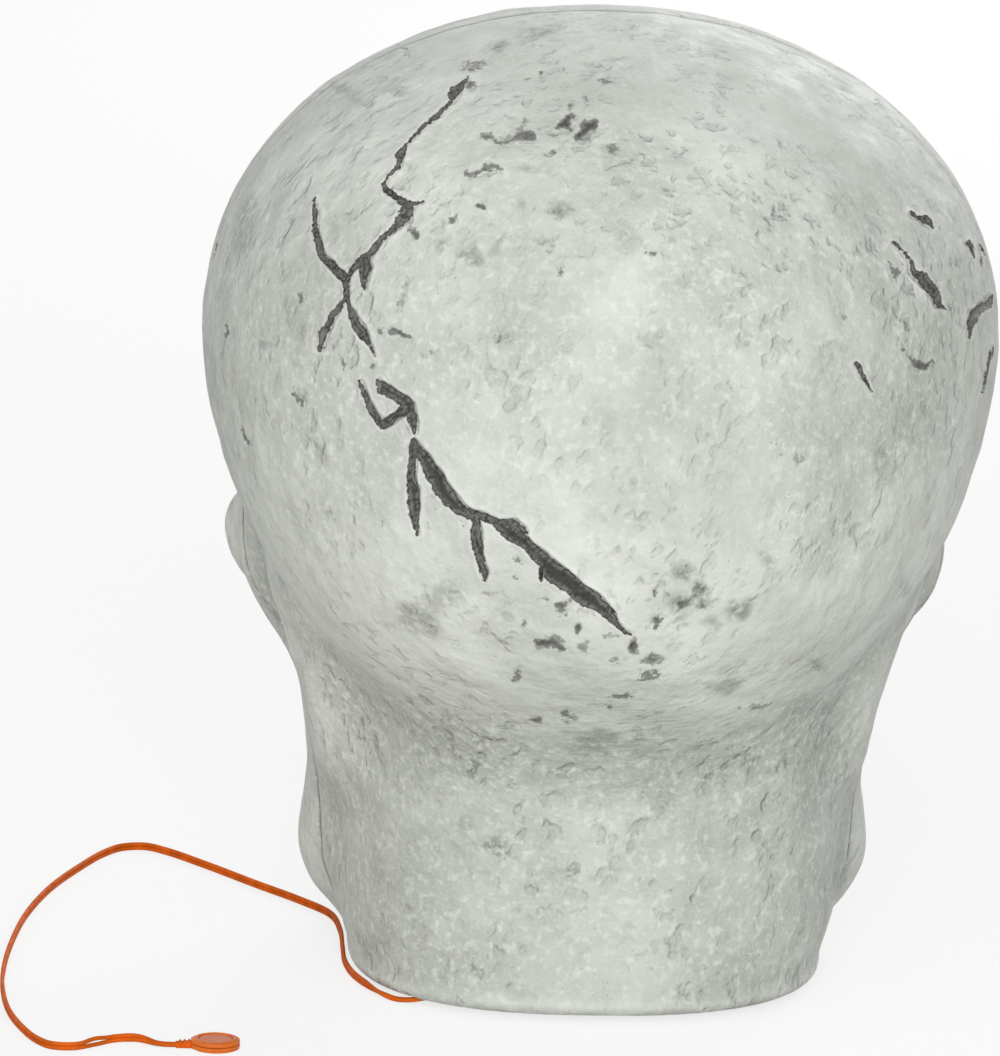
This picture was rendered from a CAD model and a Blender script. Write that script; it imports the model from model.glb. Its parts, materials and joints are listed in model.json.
"""The looks of a giant tabletop skull with cracked, bone-coloured shells.

Lengths are millimetres in the sizes below and metres in Blender. +Z is up, the face looks
along -Y, and the two shells of the skull meet in the plane y = 0. An orange two-core lead
with a push button comes out under the rear left edge.
"""

from __future__ import annotations

import functools
import json
import logging
import math
from dataclasses import dataclass, field
from enum import Enum
from typing import Any, Iterable, Sequence

import bmesh
import bpy
import numpy as np
from mathutils import Matrix, Vector

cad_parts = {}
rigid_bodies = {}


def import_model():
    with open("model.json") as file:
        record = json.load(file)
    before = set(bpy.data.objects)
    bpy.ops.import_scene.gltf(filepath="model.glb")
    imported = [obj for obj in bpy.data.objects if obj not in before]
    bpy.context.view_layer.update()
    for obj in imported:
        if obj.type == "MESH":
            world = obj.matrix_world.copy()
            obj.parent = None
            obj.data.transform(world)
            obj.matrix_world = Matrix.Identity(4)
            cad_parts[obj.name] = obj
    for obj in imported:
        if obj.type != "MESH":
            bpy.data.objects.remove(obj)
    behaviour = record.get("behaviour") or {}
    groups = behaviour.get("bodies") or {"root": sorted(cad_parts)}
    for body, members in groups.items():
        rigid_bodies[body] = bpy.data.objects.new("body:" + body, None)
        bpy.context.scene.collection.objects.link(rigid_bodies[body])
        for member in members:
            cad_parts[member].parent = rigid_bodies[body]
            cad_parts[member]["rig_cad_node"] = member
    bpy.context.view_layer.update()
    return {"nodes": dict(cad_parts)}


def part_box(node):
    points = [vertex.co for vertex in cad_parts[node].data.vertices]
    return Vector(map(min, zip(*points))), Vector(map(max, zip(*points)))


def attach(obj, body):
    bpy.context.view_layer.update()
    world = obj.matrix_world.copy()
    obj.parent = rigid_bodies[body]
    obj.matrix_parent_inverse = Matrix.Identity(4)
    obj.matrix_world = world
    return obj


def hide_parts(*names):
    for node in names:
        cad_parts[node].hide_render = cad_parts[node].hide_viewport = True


Array = np.ndarray
Point = tuple[float, float, float]
Colour = tuple[float, float, float]
Pair = tuple[float, float]
Triple = tuple[float, float, float]
Rise = tuple[float, ...]
Piece = bpy.types.Object

MM = 0.001
TINY = 1e-9
SEED = 11
TOOL_SIDES = 64
POST_SIDES = 40
SCREWS = [f"base_screw_{number}" for number in range(1, 7)]
PADS = [f"foot_pad_{number}" for number in range(1, 5)]

log = logging.getLogger("skull")


def soft_min(a: Array, b: Array, blend: float) -> Array:
    """The lower of two gaps, joined by a round fillet."""
    mix = np.maximum(blend - np.abs(a - b), 0) / blend
    return np.minimum(a, b) - mix * mix * blend / 4


def soft_max(a: Array, b: Array, blend: float) -> Array:
    """The higher of two gaps, joined by a round fillet."""
    return -soft_min(-a, -b, blend)


def power_norm(shares: Sequence[Array], power: float) -> Array:
    """The length of a row of shares under a power other than two."""
    return sum(np.abs(share) ** power for share in shares) ** (1 / power)


def smooth_step(low: float, high: float, value: Array) -> Array:
    """A smooth rise from zero at low to one at high."""
    share = np.clip((value - low) / (high - low), 0, 1)
    return share * share * (3 - 2 * share)


def mirrored(points: Array) -> tuple[Array, Array, Array]:
    """Places along each axis, with those of the skull's left moved to its right."""
    return np.abs(points[:, 0]), points[:, 1], points[:, 2]


@functools.cache
def lattice(seed: int, cycle: int) -> Array:
    """A cube of random values from -1 to 1."""
    return np.random.default_rng(seed).uniform(-1, 1, (cycle,) * 3)


@dataclass(frozen=True)
class LatticeNoise:
    """Smooth random values on a cubic lattice, the same on each run."""

    cell: float
    seed: int
    cycle: int = 61

    def at(self, points: Array) -> Array:
        """Reads the noise.

        Args:
            points: Places in millimetres.

        Returns:
            Values from -1 to 1.
        """
        table = lattice(self.seed, self.cycle)
        scaled = points / self.cell
        base = np.floor(scaled).astype(int)
        share = scaled - base
        share = share * share * (3 - 2 * share)
        total = np.zeros(len(points))
        for corner in np.ndindex(2, 2, 2):
            index = (base + np.array(corner)) % self.cycle
            weight = np.prod(np.where(np.array(corner) == 1, share, 1 - share), axis=1)
            total += weight * table[index[:, 0], index[:, 1], index[:, 2]]
        return total


@dataclass(frozen=True)
class PitNoise:
    """Scattered round pits, one at most in each cell of a cubic lattice."""

    cell: float
    radius: Pair
    chance: float
    seed: int
    cycle: int = 53
    spread: Pair = (0.15, 0.85)

    def at(self, points: Array) -> Array:
        """How deep places lie inside the nearest pit.

        Args:
            points: Places in millimetres.

        Returns:
            The distances to the pit's edge, above zero inside it.
        """
        rng = np.random.default_rng(self.seed)
        shape = (self.cycle,) * 3
        centre = rng.uniform(*self.spread, shape + (3,))
        radius = rng.uniform(*self.radius, shape)
        radius = np.where(rng.uniform(0, 1, shape) < self.chance, radius, -self.cell)
        base = np.floor(points / self.cell).astype(int)
        best = np.full(len(points), -self.cell)
        for corner in np.ndindex(3, 3, 3):
            cell = base + np.array(corner) - 1
            index = cell % self.cycle
            key = (index[:, 0], index[:, 1], index[:, 2])
            place = (cell + centre[key]) * self.cell
            best = np.maximum(best, radius[key] - np.linalg.norm(points - place, axis=1))
        return best


@dataclass(frozen=True)
class PhotoCamera:
    """The camera, placed from how the skull lies in the picture."""

    frame: tuple[int, int] = (1000, 1056)
    elevation_deg: float = 12
    yaw_deg: float = -2.5
    roll_deg: float = 1.4
    distance: float = 5000
    pixels_per_mm: float = 1.943
    anchor: Point = (0, 13.6, 339)
    anchor_pixel: Pair = (600, 330)
    sensor: float = 36

    def axes(self) -> tuple[Array, Array, Array]:
        """The camera's own directions.

        Returns:
            The ways to the right, up and back, as unit vectors.
        """
        rise = math.radians(self.elevation_deg)
        turn = math.radians(180 + self.yaw_deg)
        back = np.array([math.sin(turn) * math.cos(rise), -math.cos(turn) * math.cos(rise),
                         math.sin(rise)])
        right = np.cross(-back, [0, 0, 1])
        right /= np.linalg.norm(right)
        up = np.cross(back, right)
        roll = math.radians(self.roll_deg)
        return (right * math.cos(roll) + up * math.sin(roll),
                up * math.cos(roll) - right * math.sin(roll), back)

    def place(self) -> Array:
        """Where the camera stands, in millimetres."""
        right, up, back = self.axes()
        across = (self.anchor_pixel[0] - self.frame[0] / 2) / self.pixels_per_mm
        down = (self.anchor_pixel[1] - self.frame[1] / 2) / self.pixels_per_mm
        return np.array(self.anchor) + back * self.distance - right * across + up * down

    def pixels(self, points: Array) -> Array:
        """Projects places into the picture.

        Args:
            points: Places in millimetres.

        Returns:
            Pixel coordinates, one pair a row.
        """
        right, up, back = self.axes()
        offset = points - self.place()
        depth = -(offset @ back)
        scale = self.pixels_per_mm * self.distance / depth
        return np.stack([self.frame[0] / 2 + scale * (offset @ right),
                         self.frame[1] / 2 - scale * (offset @ up)], axis=1)

    def build(self) -> None:
        """Makes the camera and sets it as the scene's."""
        data = bpy.data.cameras.new("camera")
        data.sensor_fit = "VERTICAL"
        data.sensor_height = self.sensor
        data.lens = self.pixels_per_mm * self.distance / self.frame[1] * self.sensor
        data.clip_end = 4 * self.distance * MM
        camera = bpy.data.objects.new("camera", data)
        right, up, back = self.axes()
        turn = Matrix((right, up, back)).transposed().to_4x4()
        camera.matrix_world = Matrix.Translation(Vector(self.place() * MM)) @ turn
        bpy.context.scene.collection.objects.link(camera)
        bpy.context.scene.camera = camera


@dataclass(frozen=True)
class Grain:
    """A noise: its size in millimetres, its detail and its roughness."""

    size: float
    detail: float = 3
    roughness: float = 0.5


@dataclass(frozen=True)
class Blotch:
    """A noise read through a smooth rise, from one value of the noise to another."""

    grain: Grain
    rise: Rise


class Graph:
    """A material's node tree with short calls to fill it."""

    noise_span: Rise = (0.3, 0.7)

    def __init__(self, name: str) -> None:
        """Starts an empty material.

        Args:
            name: The material's name.
        """
        self.material = bpy.data.materials.new(name)
        self.material.use_nodes = True
        self.tree = self.material.node_tree
        self.tree.nodes.clear()
        self.surface = self.node("ShaderNodeBsdfPrincipled")
        output = self.node("ShaderNodeOutputMaterial")
        self.tree.links.new(self.surface.outputs[0], output.inputs["Surface"])

    def node(self, kind: str, inputs: dict[Any, Any] | None = None, **values: Any) -> Any:
        """Adds a node.

        Args:
            kind: Its type.
            inputs: Values or sockets for its inputs, by name or number.
            values: Its settings.

        Returns:
            The new node.
        """
        node = self.tree.nodes.new(kind)
        for key, value in values.items():
            setattr(node, key, value)
        for key, value in (inputs or {}).items():
            if isinstance(value, bpy.types.NodeSocket):
                self.tree.links.new(value, node.inputs[key])
            else:
                node.inputs[key].default_value = value
        return node

    def place(self, scale: Point = (1, 1, 1), turn: Point = (0, 0, 0)) -> Any:
        """The place on the object, in metres.

        Args:
            scale: Stretches the place along each axis.
            turn: Turns it about each axis, in radians.

        Returns:
            A socket with the place.
        """
        place = self.node("ShaderNodeTexCoord").outputs["Object"]
        if scale == (1, 1, 1) and turn == (0, 0, 0):
            return place
        turned = self.node("ShaderNodeMapping", {"Vector": place, "Rotation": turn})
        return self.node("ShaderNodeMapping",
                         {"Vector": turned.outputs[0], "Scale": scale}).outputs[0]

    def ring_place(self, centre: float, reach: float, squeeze: float) -> Any:
        """The place by its distance from a level line through the skull, and the arc round it.

        Args:
            centre: The line's height in millimetres.
            reach: Where the arc has its true length.
            squeeze: The arc's scale; below one, what is read is stretched.

        Returns:
            A socket with the distance, the arc and the depth, in metres.
        """
        x, y, z = self.node("ShaderNodeSeparateXYZ", {0: self.place()}).outputs
        down = self.math("SUBTRACT", centre * MM, z)
        square = self.add_times(x, x, self.times(down, down))
        arc = self.times(self.math("ARCTAN2", x, down), reach * MM * squeeze)
        return self.node("ShaderNodeCombineXYZ",
                         {0: self.math("SQRT", square), 1: arc, 2: y}).outputs[0]

    def noise(self, grain: Grain, place: Any = None) -> Any:
        """Smooth noise."""
        return self.node("ShaderNodeTexNoise", {
            "Vector": place or self.place(), "Scale": 1 / (grain.size * MM),
            "Detail": grain.detail, "Roughness": grain.roughness}).outputs["Fac"]

    def blotches(self, look: Blotch, place: Any = None) -> Any:
        """Noise through a smooth rise."""
        return self.ramp(self.noise(look.grain, place), *look.rise)

    def sheen(self, grain: Grain, low: float, high: float) -> Any:
        """Roughness that wanders from one value to another."""
        return self.ramp(self.noise(grain), *self.noise_span, low, high)

    def attribute(self, name: str) -> Any:
        """A value stored on the mesh's points."""
        return self.node("ShaderNodeAttribute", attribute_name=name).outputs["Fac"]

    def math(self, operation: str, *values: Any) -> Any:
        """A sum on numbers."""
        return self.node("ShaderNodeMath", dict(enumerate(values)), operation=operation).outputs[0]

    def times(self, first: Any, second: Any) -> Any:
        """The product of two numbers."""
        return self.math("MULTIPLY", first, second)

    def add_times(self, first: Any, second: Any, base: Any) -> Any:
        """The product of two numbers on top of a third."""
        return self.math("MULTIPLY_ADD", first, second, base)

    def ramp(self, value: Any, low: float, high: float, start: float = 0, end: float = 1) -> Any:
        """A smooth rise."""
        return self.node("ShaderNodeMapRange", {
            "Value": value, "From Min": low, "From Max": high, "To Min": start, "To Max": end},
            interpolation_type="SMOOTHSTEP").outputs[0]

    def band(self, value: Any, rise: Rise, fall: Rise) -> Any:
        """One between a smooth rise and a smooth fall, and zero outside them."""
        return self.times(self.ramp(value, *rise), self.ramp(value, *fall))

    def mix(self, share: Any, first: Any, second: Any) -> Any:
        """Mixes two colours."""
        colours = [(*c, 1) if isinstance(c, tuple) else c for c in (first, second)]
        return self.node("ShaderNodeMix", {0: share, 6: colours[0], 7: colours[1]},
                         data_type="RGBA").outputs[2]

    def coats(self, colour: Any, *layers: tuple[Any, Any]) -> Any:
        """Paints a colour over with others, each after the share that it covers."""
        for share, paint in layers:
            colour = self.mix(share, colour, paint)
        return colour

    def bump(self, height: Any, distance: float, before: Any = None) -> Any:
        """Bumps the surface.

        Args:
            height: A socket with the height, from zero to one.
            distance: The height that one stands for, in millimetres.
            before: The bump that this one lies on.

        Returns:
            A socket with the bumped normal.
        """
        inputs = {"Height": height, "Distance": distance * MM}
        if before is not None:
            inputs["Normal"] = before
        return self.node("ShaderNodeBump", inputs).outputs[0]

    def finish(self, **inputs: Any) -> bpy.types.Material:
        """Sets the surface's inputs.

        Args:
            inputs: Values or sockets; an underscore in a name stands for a space.

        Returns:
            The material.
        """
        for key, value in inputs.items():
            socket = self.surface.inputs[key.replace("_", " ")]
            if isinstance(value, bpy.types.NodeSocket):
                self.tree.links.new(value, socket)
            else:
                socket.default_value = (*value, 1) if isinstance(value, tuple) else value
        return self.material


@dataclass(frozen=True)
class BoneFinish:
    """Painted hard plastic that looks like old bone, with a dark wash in its low places."""

    light: Colour = (0.745, 0.77, 0.715)
    shade: Colour = (0.645, 0.67, 0.615)
    cloud: Colour = (0.5, 0.525, 0.475)
    smudge: Colour = (0.235, 0.25, 0.22)
    wash: Colour = (0.115, 0.12, 0.105)
    bed: Colour = (0.15, 0.155, 0.14)
    core: Colour = (0.026, 0.026, 0.023)
    dry: Colour = (0.78, 0.8, 0.75)
    tone: Blotch = Blotch(Grain(70), (0.34, 0.62))
    clouds: Blotch = Blotch(Grain(20, 5, 0.58), (0.52, 0.78, 0, 0.3))
    dirt: Blotch = Blotch(Grain(48), (0.46, 0.7, 0, 0.07))
    stain_dirt: float = 0.22
    grime_dirt: float = 0.1
    wash_level: float = 0.325
    wash_shares: Triple = (0.36, 0.34, 0.3)
    wash_edge: Rise = (0, 0.06, 0, 0.7)
    wash_core: Rise = (0.06, 0.16, 0, 0.85)
    folds: Grain = Grain(46, 2, 0.45)
    lumps: Grain = Grain(17)
    hollows: Grain = Grain(8, 2)
    hollow_place: tuple[Point, Point] = ((1, 1, 0.7), (0, 0.4, 0))
    dent_rise: Rise = (0.48, 0.31)
    dent_spread: Blotch = Blotch(Grain(55, 2), (0.4, 0.62, 0.08, 0.7))
    dent_grime: float = 0.4
    dent_share: float = 0.28
    daub_centre: float = 300
    daub_reach: float = 190
    daub_squeeze: float = 0.3
    daubs: Blotch = Blotch(Grain(7), (0.5, 0.74, 0, 0.3))
    lines: Grain = Grain(2.6, 3, 0.55)
    line_spread: Blotch = Blotch(Grain(30, 2), (0.35, 0.6, 0.08, 0.28))
    dark_lines: Rise = (0.5, 0.72)
    dry_lines: Rise = (0.46, 0.3)
    soft_smudge: Blotch = Blotch(Grain(4.5, 4, 0.6), (0.3, 0.52, 0.25, 1))
    chips: Grain = Grain(1.9, 5, 0.66)
    chip_reach: float = 3.4
    chalk: Rise = (0.52, 0.62, 0, 0.45)
    specks: Blotch = Blotch(Grain(1.2, 2), (0.68, 0.73, 0, 0.7))
    speck_spread: Blotch = Blotch(Grain(26), (0.5, 0.62))
    pit_chips: float = 1.7
    pit_edge: Rise = (-0.3, 0.7, 0, 0.8)
    pit_core: Rise = (1.2, 2.8, 0, 0.7)
    bed_streaks: Blotch = Blotch(Grain(1.5, 4, 0.65), (0.36, 0.56))
    streak_place: tuple[Point, Point] = ((1, 1, 0.4), (0.3, 0.7, 0.2))
    crack_cover: Rise = (-0.12, 0.22)
    crack_edge: tuple[Rise, Rise] = ((-0.1, 0.12), (0.75, 0.3, 0, 0.85))
    crack_core: Rise = (1.7, 2.8, 0, 0.8)
    crack_rim: tuple[Rise, Rise] = ((-2.2, -0.5), (0, -0.4, 0, 0.35))
    crack_step: Rise = (0.3, -0.3)
    bump_heights: tuple[float, ...] = (8, 3.4, -1.3, 1.4, 0.45, 0.24, 0.8)
    shine: float = 0.4
    gloss: tuple[Grain, float, float] = (Grain(16), 0.5, 0.68)

    def washed(self, g: Graph, lumps: Any, dents: Any, chips: Any) -> Any:
        """How deep the wash stands: it fills the low places, more where the bone is stained.

        Args:
            g: The material's graph.
            lumps: The height of the wide lumps.
            dents: The height of the small dents.
            chips: The height of the fine chips.

        Returns:
            A socket, above zero where the wash shows.
        """
        stain = g.add_times(g.attribute("stain"), self.stain_dirt, g.blotches(self.dirt))
        level = g.add_times(g.attribute("grime"), self.grime_dirt, stain)
        lump_share, dent_share, chip_share = self.wash_shares
        height = g.add_times(lumps, lump_share, g.times(chips, chip_share))
        height = g.add_times(dents, dent_share, height)
        return g.math("SUBTRACT", g.math("ADD", level, self.wash_level), height)

    def cracked(self, g: Graph, colour: Any, ragged: Any) -> Any:
        """Paints the cracks: a sharp dark edge, a grey bed with dark streaks, a black core.

        Args:
            g: The material's graph.
            colour: The colour round them.
            ragged: The distance inside a crack's chipped edge, in millimetres.

        Returns:
            The colour with the cracks.
        """
        bed = g.mix(g.blotches(self.bed_streaks, g.place(*self.streak_place)), self.core, self.bed)
        bed = g.coats(bed, (g.band(ragged, *self.crack_edge), self.core),
                      (g.ramp(ragged, *self.crack_core), self.core))
        return g.coats(colour, (g.band(ragged, *self.crack_rim), self.dry),
                       (g.ramp(ragged, *self.crack_cover), bed))

    def clouded(self, g: Graph, dented: Any, daubs: Any, lines: Any) -> Any:
        """The bone's own colour: soft clouds, grey in its dents, and brushed daubs on the neck.

        Args:
            g: The material's graph.
            dented: How deep a dent is, zero out of it.
            daubs: The height of the brushed daubs, only where they lie.
            lines: The height of the thin brush lines.

        Returns:
            The colour.
        """
        spread = g.times(g.attribute("streak"), g.blotches(self.line_spread))
        return g.coats(
            g.mix(g.blotches(self.tone), self.shade, self.light),
            (g.blotches(self.clouds), self.cloud),
            (g.times(dented, self.dent_share), self.smudge),
            (g.ramp(daubs, *self.daubs.rise), self.smudge),
            (g.times(g.ramp(lines, *self.dark_lines), spread), self.smudge),
            (g.times(g.ramp(lines, *self.dry_lines), spread), self.dry))

    def build(self) -> bpy.types.Material:
        """Makes the material."""
        g = Graph("aged_bone")
        ring = g.ring_place(self.daub_centre, self.daub_reach, self.daub_squeeze)
        grime, streak = g.attribute("grime"), g.attribute("streak")
        lumps, chips, lines = g.noise(self.lumps), g.noise(self.chips), g.noise(self.lines, ring)
        hollows = g.noise(self.hollows, g.place(*self.hollow_place))
        spread = g.add_times(grime, self.dent_grime, g.blotches(self.dent_spread))
        dented = g.times(g.ramp(hollows, *self.dent_rise), spread)
        daubs = g.times(g.noise(self.daubs.grain, ring), streak)
        wash = self.washed(g, lumps, hollows, chips)
        chipped = g.add_times(chips, self.chip_reach, -self.chip_reach / 2)
        pit = g.add_times(chipped, self.pit_chips, g.attribute("pit"))
        ragged = g.math("ADD", g.attribute("crack"), chipped)
        colour = g.coats(
            self.clouded(g, dented, daubs, lines),
            (g.times(grime, g.blotches(self.soft_smudge)), self.smudge),
            (g.ramp(wash, *self.wash_edge), self.smudge),
            (g.ramp(wash, *self.wash_core), self.wash),
            (g.times(g.ramp(chips, *self.chalk), grime), self.dry),
            (g.times(g.blotches(self.specks), g.blotches(self.speck_spread)), self.wash),
            (g.ramp(pit, *self.pit_edge), self.wash),
            (g.ramp(pit, *self.pit_core), self.core))
        colour = g.mix(g.attribute("seam"), self.cracked(g, colour, ragged), self.core)
        normal = None
        heights = (g.noise(self.folds), lumps, dented, daubs, g.times(lines, streak), chips,
                   g.ramp(ragged, *self.crack_step))
        for height, distance in zip(heights, self.bump_heights):
            normal = g.bump(height, distance, normal)
        return g.finish(Base_Color=colour, Normal=normal, Specular_IOR_Level=self.shine,
                        Roughness=g.sheen(*self.gloss))


@dataclass(frozen=True)
class MouldedFinish:
    """Moulded plastic or rubber with a fine grain, light scuffs and uneven tone."""

    name: str
    colour: Colour
    tone: float = 0.8
    roughness: float = 0.5
    grain: float = 0.9
    depth: float = 0.06
    scuff: float = 0.12
    glow: float = 0
    shine: float = 0.5
    pale_share: float = 0.35
    mottle: Blotch = Blotch(Grain(9, 4), (0.35, 0.68))
    scratch: Blotch = Blotch(Grain(0.8, 5, 0.7), (0.62, 0.72))
    scratch_place: tuple[Point, Point] = ((1, 0.12, 1), (0.4, 0.2, 0.7))
    gloss: Pair = (0.08, 0.1)

    def build(self) -> bpy.types.Material:
        """Makes the material."""
        g = Graph(self.name)
        darker = tuple(c * self.tone for c in self.colour)
        paler = tuple(c + (1 - c) * self.pale_share for c in self.colour)
        colour = g.mix(g.blotches(self.mottle), darker, self.colour)
        scratch = g.blotches(self.scratch, g.place(*self.scratch_place))
        colour = g.mix(g.times(scratch, self.scuff), colour, paler)
        normal = g.bump(g.noise(Grain(self.grain, 3, 0.6)), self.depth)
        inputs = {"Subsurface_Weight": self.glow} if self.glow else {}
        return g.finish(Base_Color=colour, Normal=normal, **inputs,
                        Specular_IOR_Level=self.shine,
                        Roughness=g.sheen(Grain(3, 4), self.roughness - self.gloss[0],
                                          self.roughness + self.gloss[1]))


@dataclass(frozen=True)
class MetalFinish:
    """Bright metal with a brushed or cast face and dull patches."""

    name: str
    colour: Colour
    roughness: float = 0.32
    brushed: float = 0.1
    dull_tone: float = 0.62
    patches: Blotch = Blotch(Grain(4, 5, 0.6), (0.42, 0.7))
    brush: Grain = Grain(0.5, 3, 0.6)
    depth: float = 0.03
    gloss: Pair = (0.06, 0.16)

    def build(self) -> bpy.types.Material:
        """Makes the material."""
        g = Graph(self.name)
        dull = tuple(c * self.dull_tone for c in self.colour)
        brush = g.noise(self.brush, g.place((self.brushed, 1, 1)))
        return g.finish(Base_Color=g.mix(g.blotches(self.patches), self.colour, dull),
                        Metallic=1.0, Normal=g.bump(brush, self.depth),
                        Roughness=g.sheen(Grain(2, 4), self.roughness - self.gloss[0],
                                          self.roughness + self.gloss[1]))


@dataclass(frozen=True)
class LensFinish:
    """Clear tinted plastic with fine rings moulded into it."""

    name: str
    colour: Colour
    roughness: float = 0.12
    ring: float = 1.4
    ring_depth: float = 0.12
    wave_bands: float = 20
    deep_tone: float = 0.55
    tint: Blotch = Blotch(Grain(7), (0.35, 0.7))
    density: float = 1.49
    clear: float = 0.55
    gloss: Pair = (0.04, 0.08)

    def build(self) -> bpy.types.Material:
        """Makes the material."""
        g = Graph(self.name)
        deep = tuple(c * self.deep_tone for c in self.colour)
        rings = g.node("ShaderNodeTexWave", {
            "Vector": g.place(), "Scale": 1 / (self.ring * MM) / self.wave_bands,
            "Distortion": 0.4, "Detail": 2}, bands_direction="Z").outputs["Fac"]
        return g.finish(Base_Color=g.mix(g.blotches(self.tint), self.colour, deep),
                        Normal=g.bump(rings, self.ring_depth), IOR=self.density,
                        Transmission_Weight=self.clear,
                        Roughness=g.sheen(Grain(3), self.roughness - self.gloss[0],
                                          self.roughness + self.gloss[1]))


@dataclass(frozen=True)
class CellFinish:
    """The plain wrap of a battery cell: a dark sleeve with a bright band."""

    sleeve: Colour = (0.045, 0.05, 0.058)
    band: Colour = (0.42, 0.3, 0.13)
    worn: Colour = (0.3, 0.3, 0.3)
    band_from: float = 8
    band_to: float = 22
    soft: float = 0.2
    wear: Blotch = Blotch(Grain(1.5, 5, 0.7), (0.6, 0.75, 0, 0.3))
    depth: float = 0.05
    metal: float = 0.3
    gloss: tuple[Grain, float, float] = (Grain(2, 4), 0.28, 0.44)

    def build(self) -> bpy.types.Material:
        """Makes the material."""
        g = Graph("cell_wrap")
        along = g.node("ShaderNodeSeparateXYZ", {0: g.place()}).outputs["X"]
        rise, fall = (((edge - self.soft) * MM, (edge + self.soft) * MM)
                      for edge in (self.band_from, self.band_to))
        colour = g.mix(g.band(along, rise, (*fall, 1, 0)), self.sleeve, self.band)
        return g.finish(Base_Color=g.mix(g.blotches(self.wear), colour, self.worn),
                        Normal=g.bump(g.noise(Grain(3)), self.depth), Metallic=self.metal,
                        Roughness=g.sheen(*self.gloss))


@dataclass(frozen=True)
class BoardFinish:
    """A circuit board with its tracks under green lacquer."""

    lacquer: Colour = (0.015, 0.12, 0.045)
    track: Colour = (0.04, 0.24, 0.09)
    stain: Colour = (0.02, 0.05, 0.03)
    pitch: float = 4.2
    stains: Blotch = Blotch(Grain(5, 4), (0.4, 0.75, 0, 0.35))
    depth: float = 0.04
    gloss: tuple[Grain, float, float] = (Grain(3), 0.25, 0.42)

    def build(self) -> bpy.types.Material:
        """Makes the material."""
        g = Graph("green_board")
        bricks = g.node("ShaderNodeTexBrick", {
            "Vector": g.place(), "Scale": 1 / (self.pitch * MM), "Mortar Size": 0.09,
            "Brick Width": 1.7, "Row Height": 0.5}).outputs["Fac"]
        colour = g.mix(bricks, self.lacquer, self.track)
        return g.finish(Base_Color=g.mix(g.blotches(self.stains), colour, self.stain),
                        Normal=g.bump(bricks, self.depth), Roughness=g.sheen(*self.gloss))


class Finish(Enum):
    """The finishes of the skull's pieces, each under the slot that it fills."""

    BONE = ("bone_plastic", BoneFinish())
    BASE = ("base_plastic", MouldedFinish("black_base", (0.022, 0.023, 0.024), 0.7, 0.48))
    STEEL = ("steel", MetalFinish("zinc_steel", (0.62, 0.63, 0.65)))
    RUBBER = ("foot_rubber", MouldedFinish("soft_rubber", (0.014, 0.014, 0.015), 0.7, 0.78,
                                           0.5, 0.05, 0.05))
    CELL = ("cell_wrap", CellFinish())
    PAPER = ("speaker_paper", MouldedFinish("cone_paper", (0.02, 0.02, 0.022), 0.6, 0.85, 0.7,
                                            0.1, 0.02))
    MAGNET = ("magnet", MetalFinish("ferrite", (0.16, 0.16, 0.17), 0.5, 1))
    BOARD = ("board", BoardFinish())
    CHIP = ("chip_plastic", MouldedFinish("epoxy", (0.012, 0.012, 0.013), 0.8, 0.4, 0.4, 0.03))
    SWITCH = ("switch_plastic", MouldedFinish("switch_white", (0.62, 0.61, 0.57), 0.85, 0.42))
    LENS = ("eye_red", LensFinish("eye_lens", (0.5, 0.018, 0.012)))
    LIGHT = ("light_clear", LensFinish("clear_light", (0.85, 0.84, 0.8), 0.08, 0.8))
    WIRE = ("wire_cover", MouldedFinish("wire_cover", (0.27, 0.012, 0.012), 0.75, 0.42, 0.6,
                                        0.02, 0.08))
    LEAD = ("lead_orange", MouldedFinish("orange_lead", (0.78, 0.14, 0.008), 0.74, 0.6, 0.9,
                                         0.03, 0.06, 0, 0.08))
    BUTTON = ("button_orange", MouldedFinish("orange_case", (0.84, 0.17, 0.014), 0.84, 0.4, 0.7,
                                             0.03, 0.1, 0.08, 0.3))
    PRESS = ("press_face", MouldedFinish("press_face", (0.74, 0.21, 0.1), 0.88, 0.5, 0.6, 0.04,
                                         0.2, 0.05, 0.4))

    def material(self) -> bpy.types.Material:
        """The finish's material, made when it is first asked for."""
        _, look = self.value
        name = f"{self.name.lower()}_finish"
        found = bpy.data.materials.get(name)
        if found is None:
            found = look.build()
            found.name = name
        return found

    def dress(self, piece: Piece) -> None:
        """Gives a piece this finish.

        Args:
            piece: A mesh that rides on the frame.
        """
        piece.data.materials.clear()
        piece.data.materials.append(self.material())
        "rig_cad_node" not in piece


def shade_smooth(piece: Piece, sharp_deg: float) -> None:
    """Shades a piece smooth, apart from edges above an angle."""
    piece.data.shade_smooth()
    piece.data.set_sharp_from_angle(angle=math.radians(sharp_deg))


def mesh_piece(name: str, points: Array, faces: Iterable[Sequence[int]],
               sharp_deg: float = 35) -> Piece:
    """Makes a smooth-shaded mesh.

    Args:
        name: The piece's name.
        points: Its points in millimetres.
        faces: Its faces as rows of point numbers.
        sharp_deg: The angle above which an edge shows as sharp.

    Returns:
        The new object, linked to the scene.
    """
    mesh = bpy.data.meshes.new(name)
    mesh.from_pydata((np.asarray(points) * MM).tolist(), [], [list(f) for f in faces])
    mesh.validate()
    piece = bpy.data.objects.new(name, mesh)
    shade_smooth(piece, sharp_deg)
    bpy.context.scene.collection.objects.link(piece)
    return piece


def ring_faces(rows: int, count: int) -> list[list[int]]:
    """The quads between closed rings of equal counts."""
    return [[low + i, low + (i + 1) % count, low + count + (i + 1) % count, low + count + i]
            for low in range(0, (rows - 1) * count, count) for i in range(count)]


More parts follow.
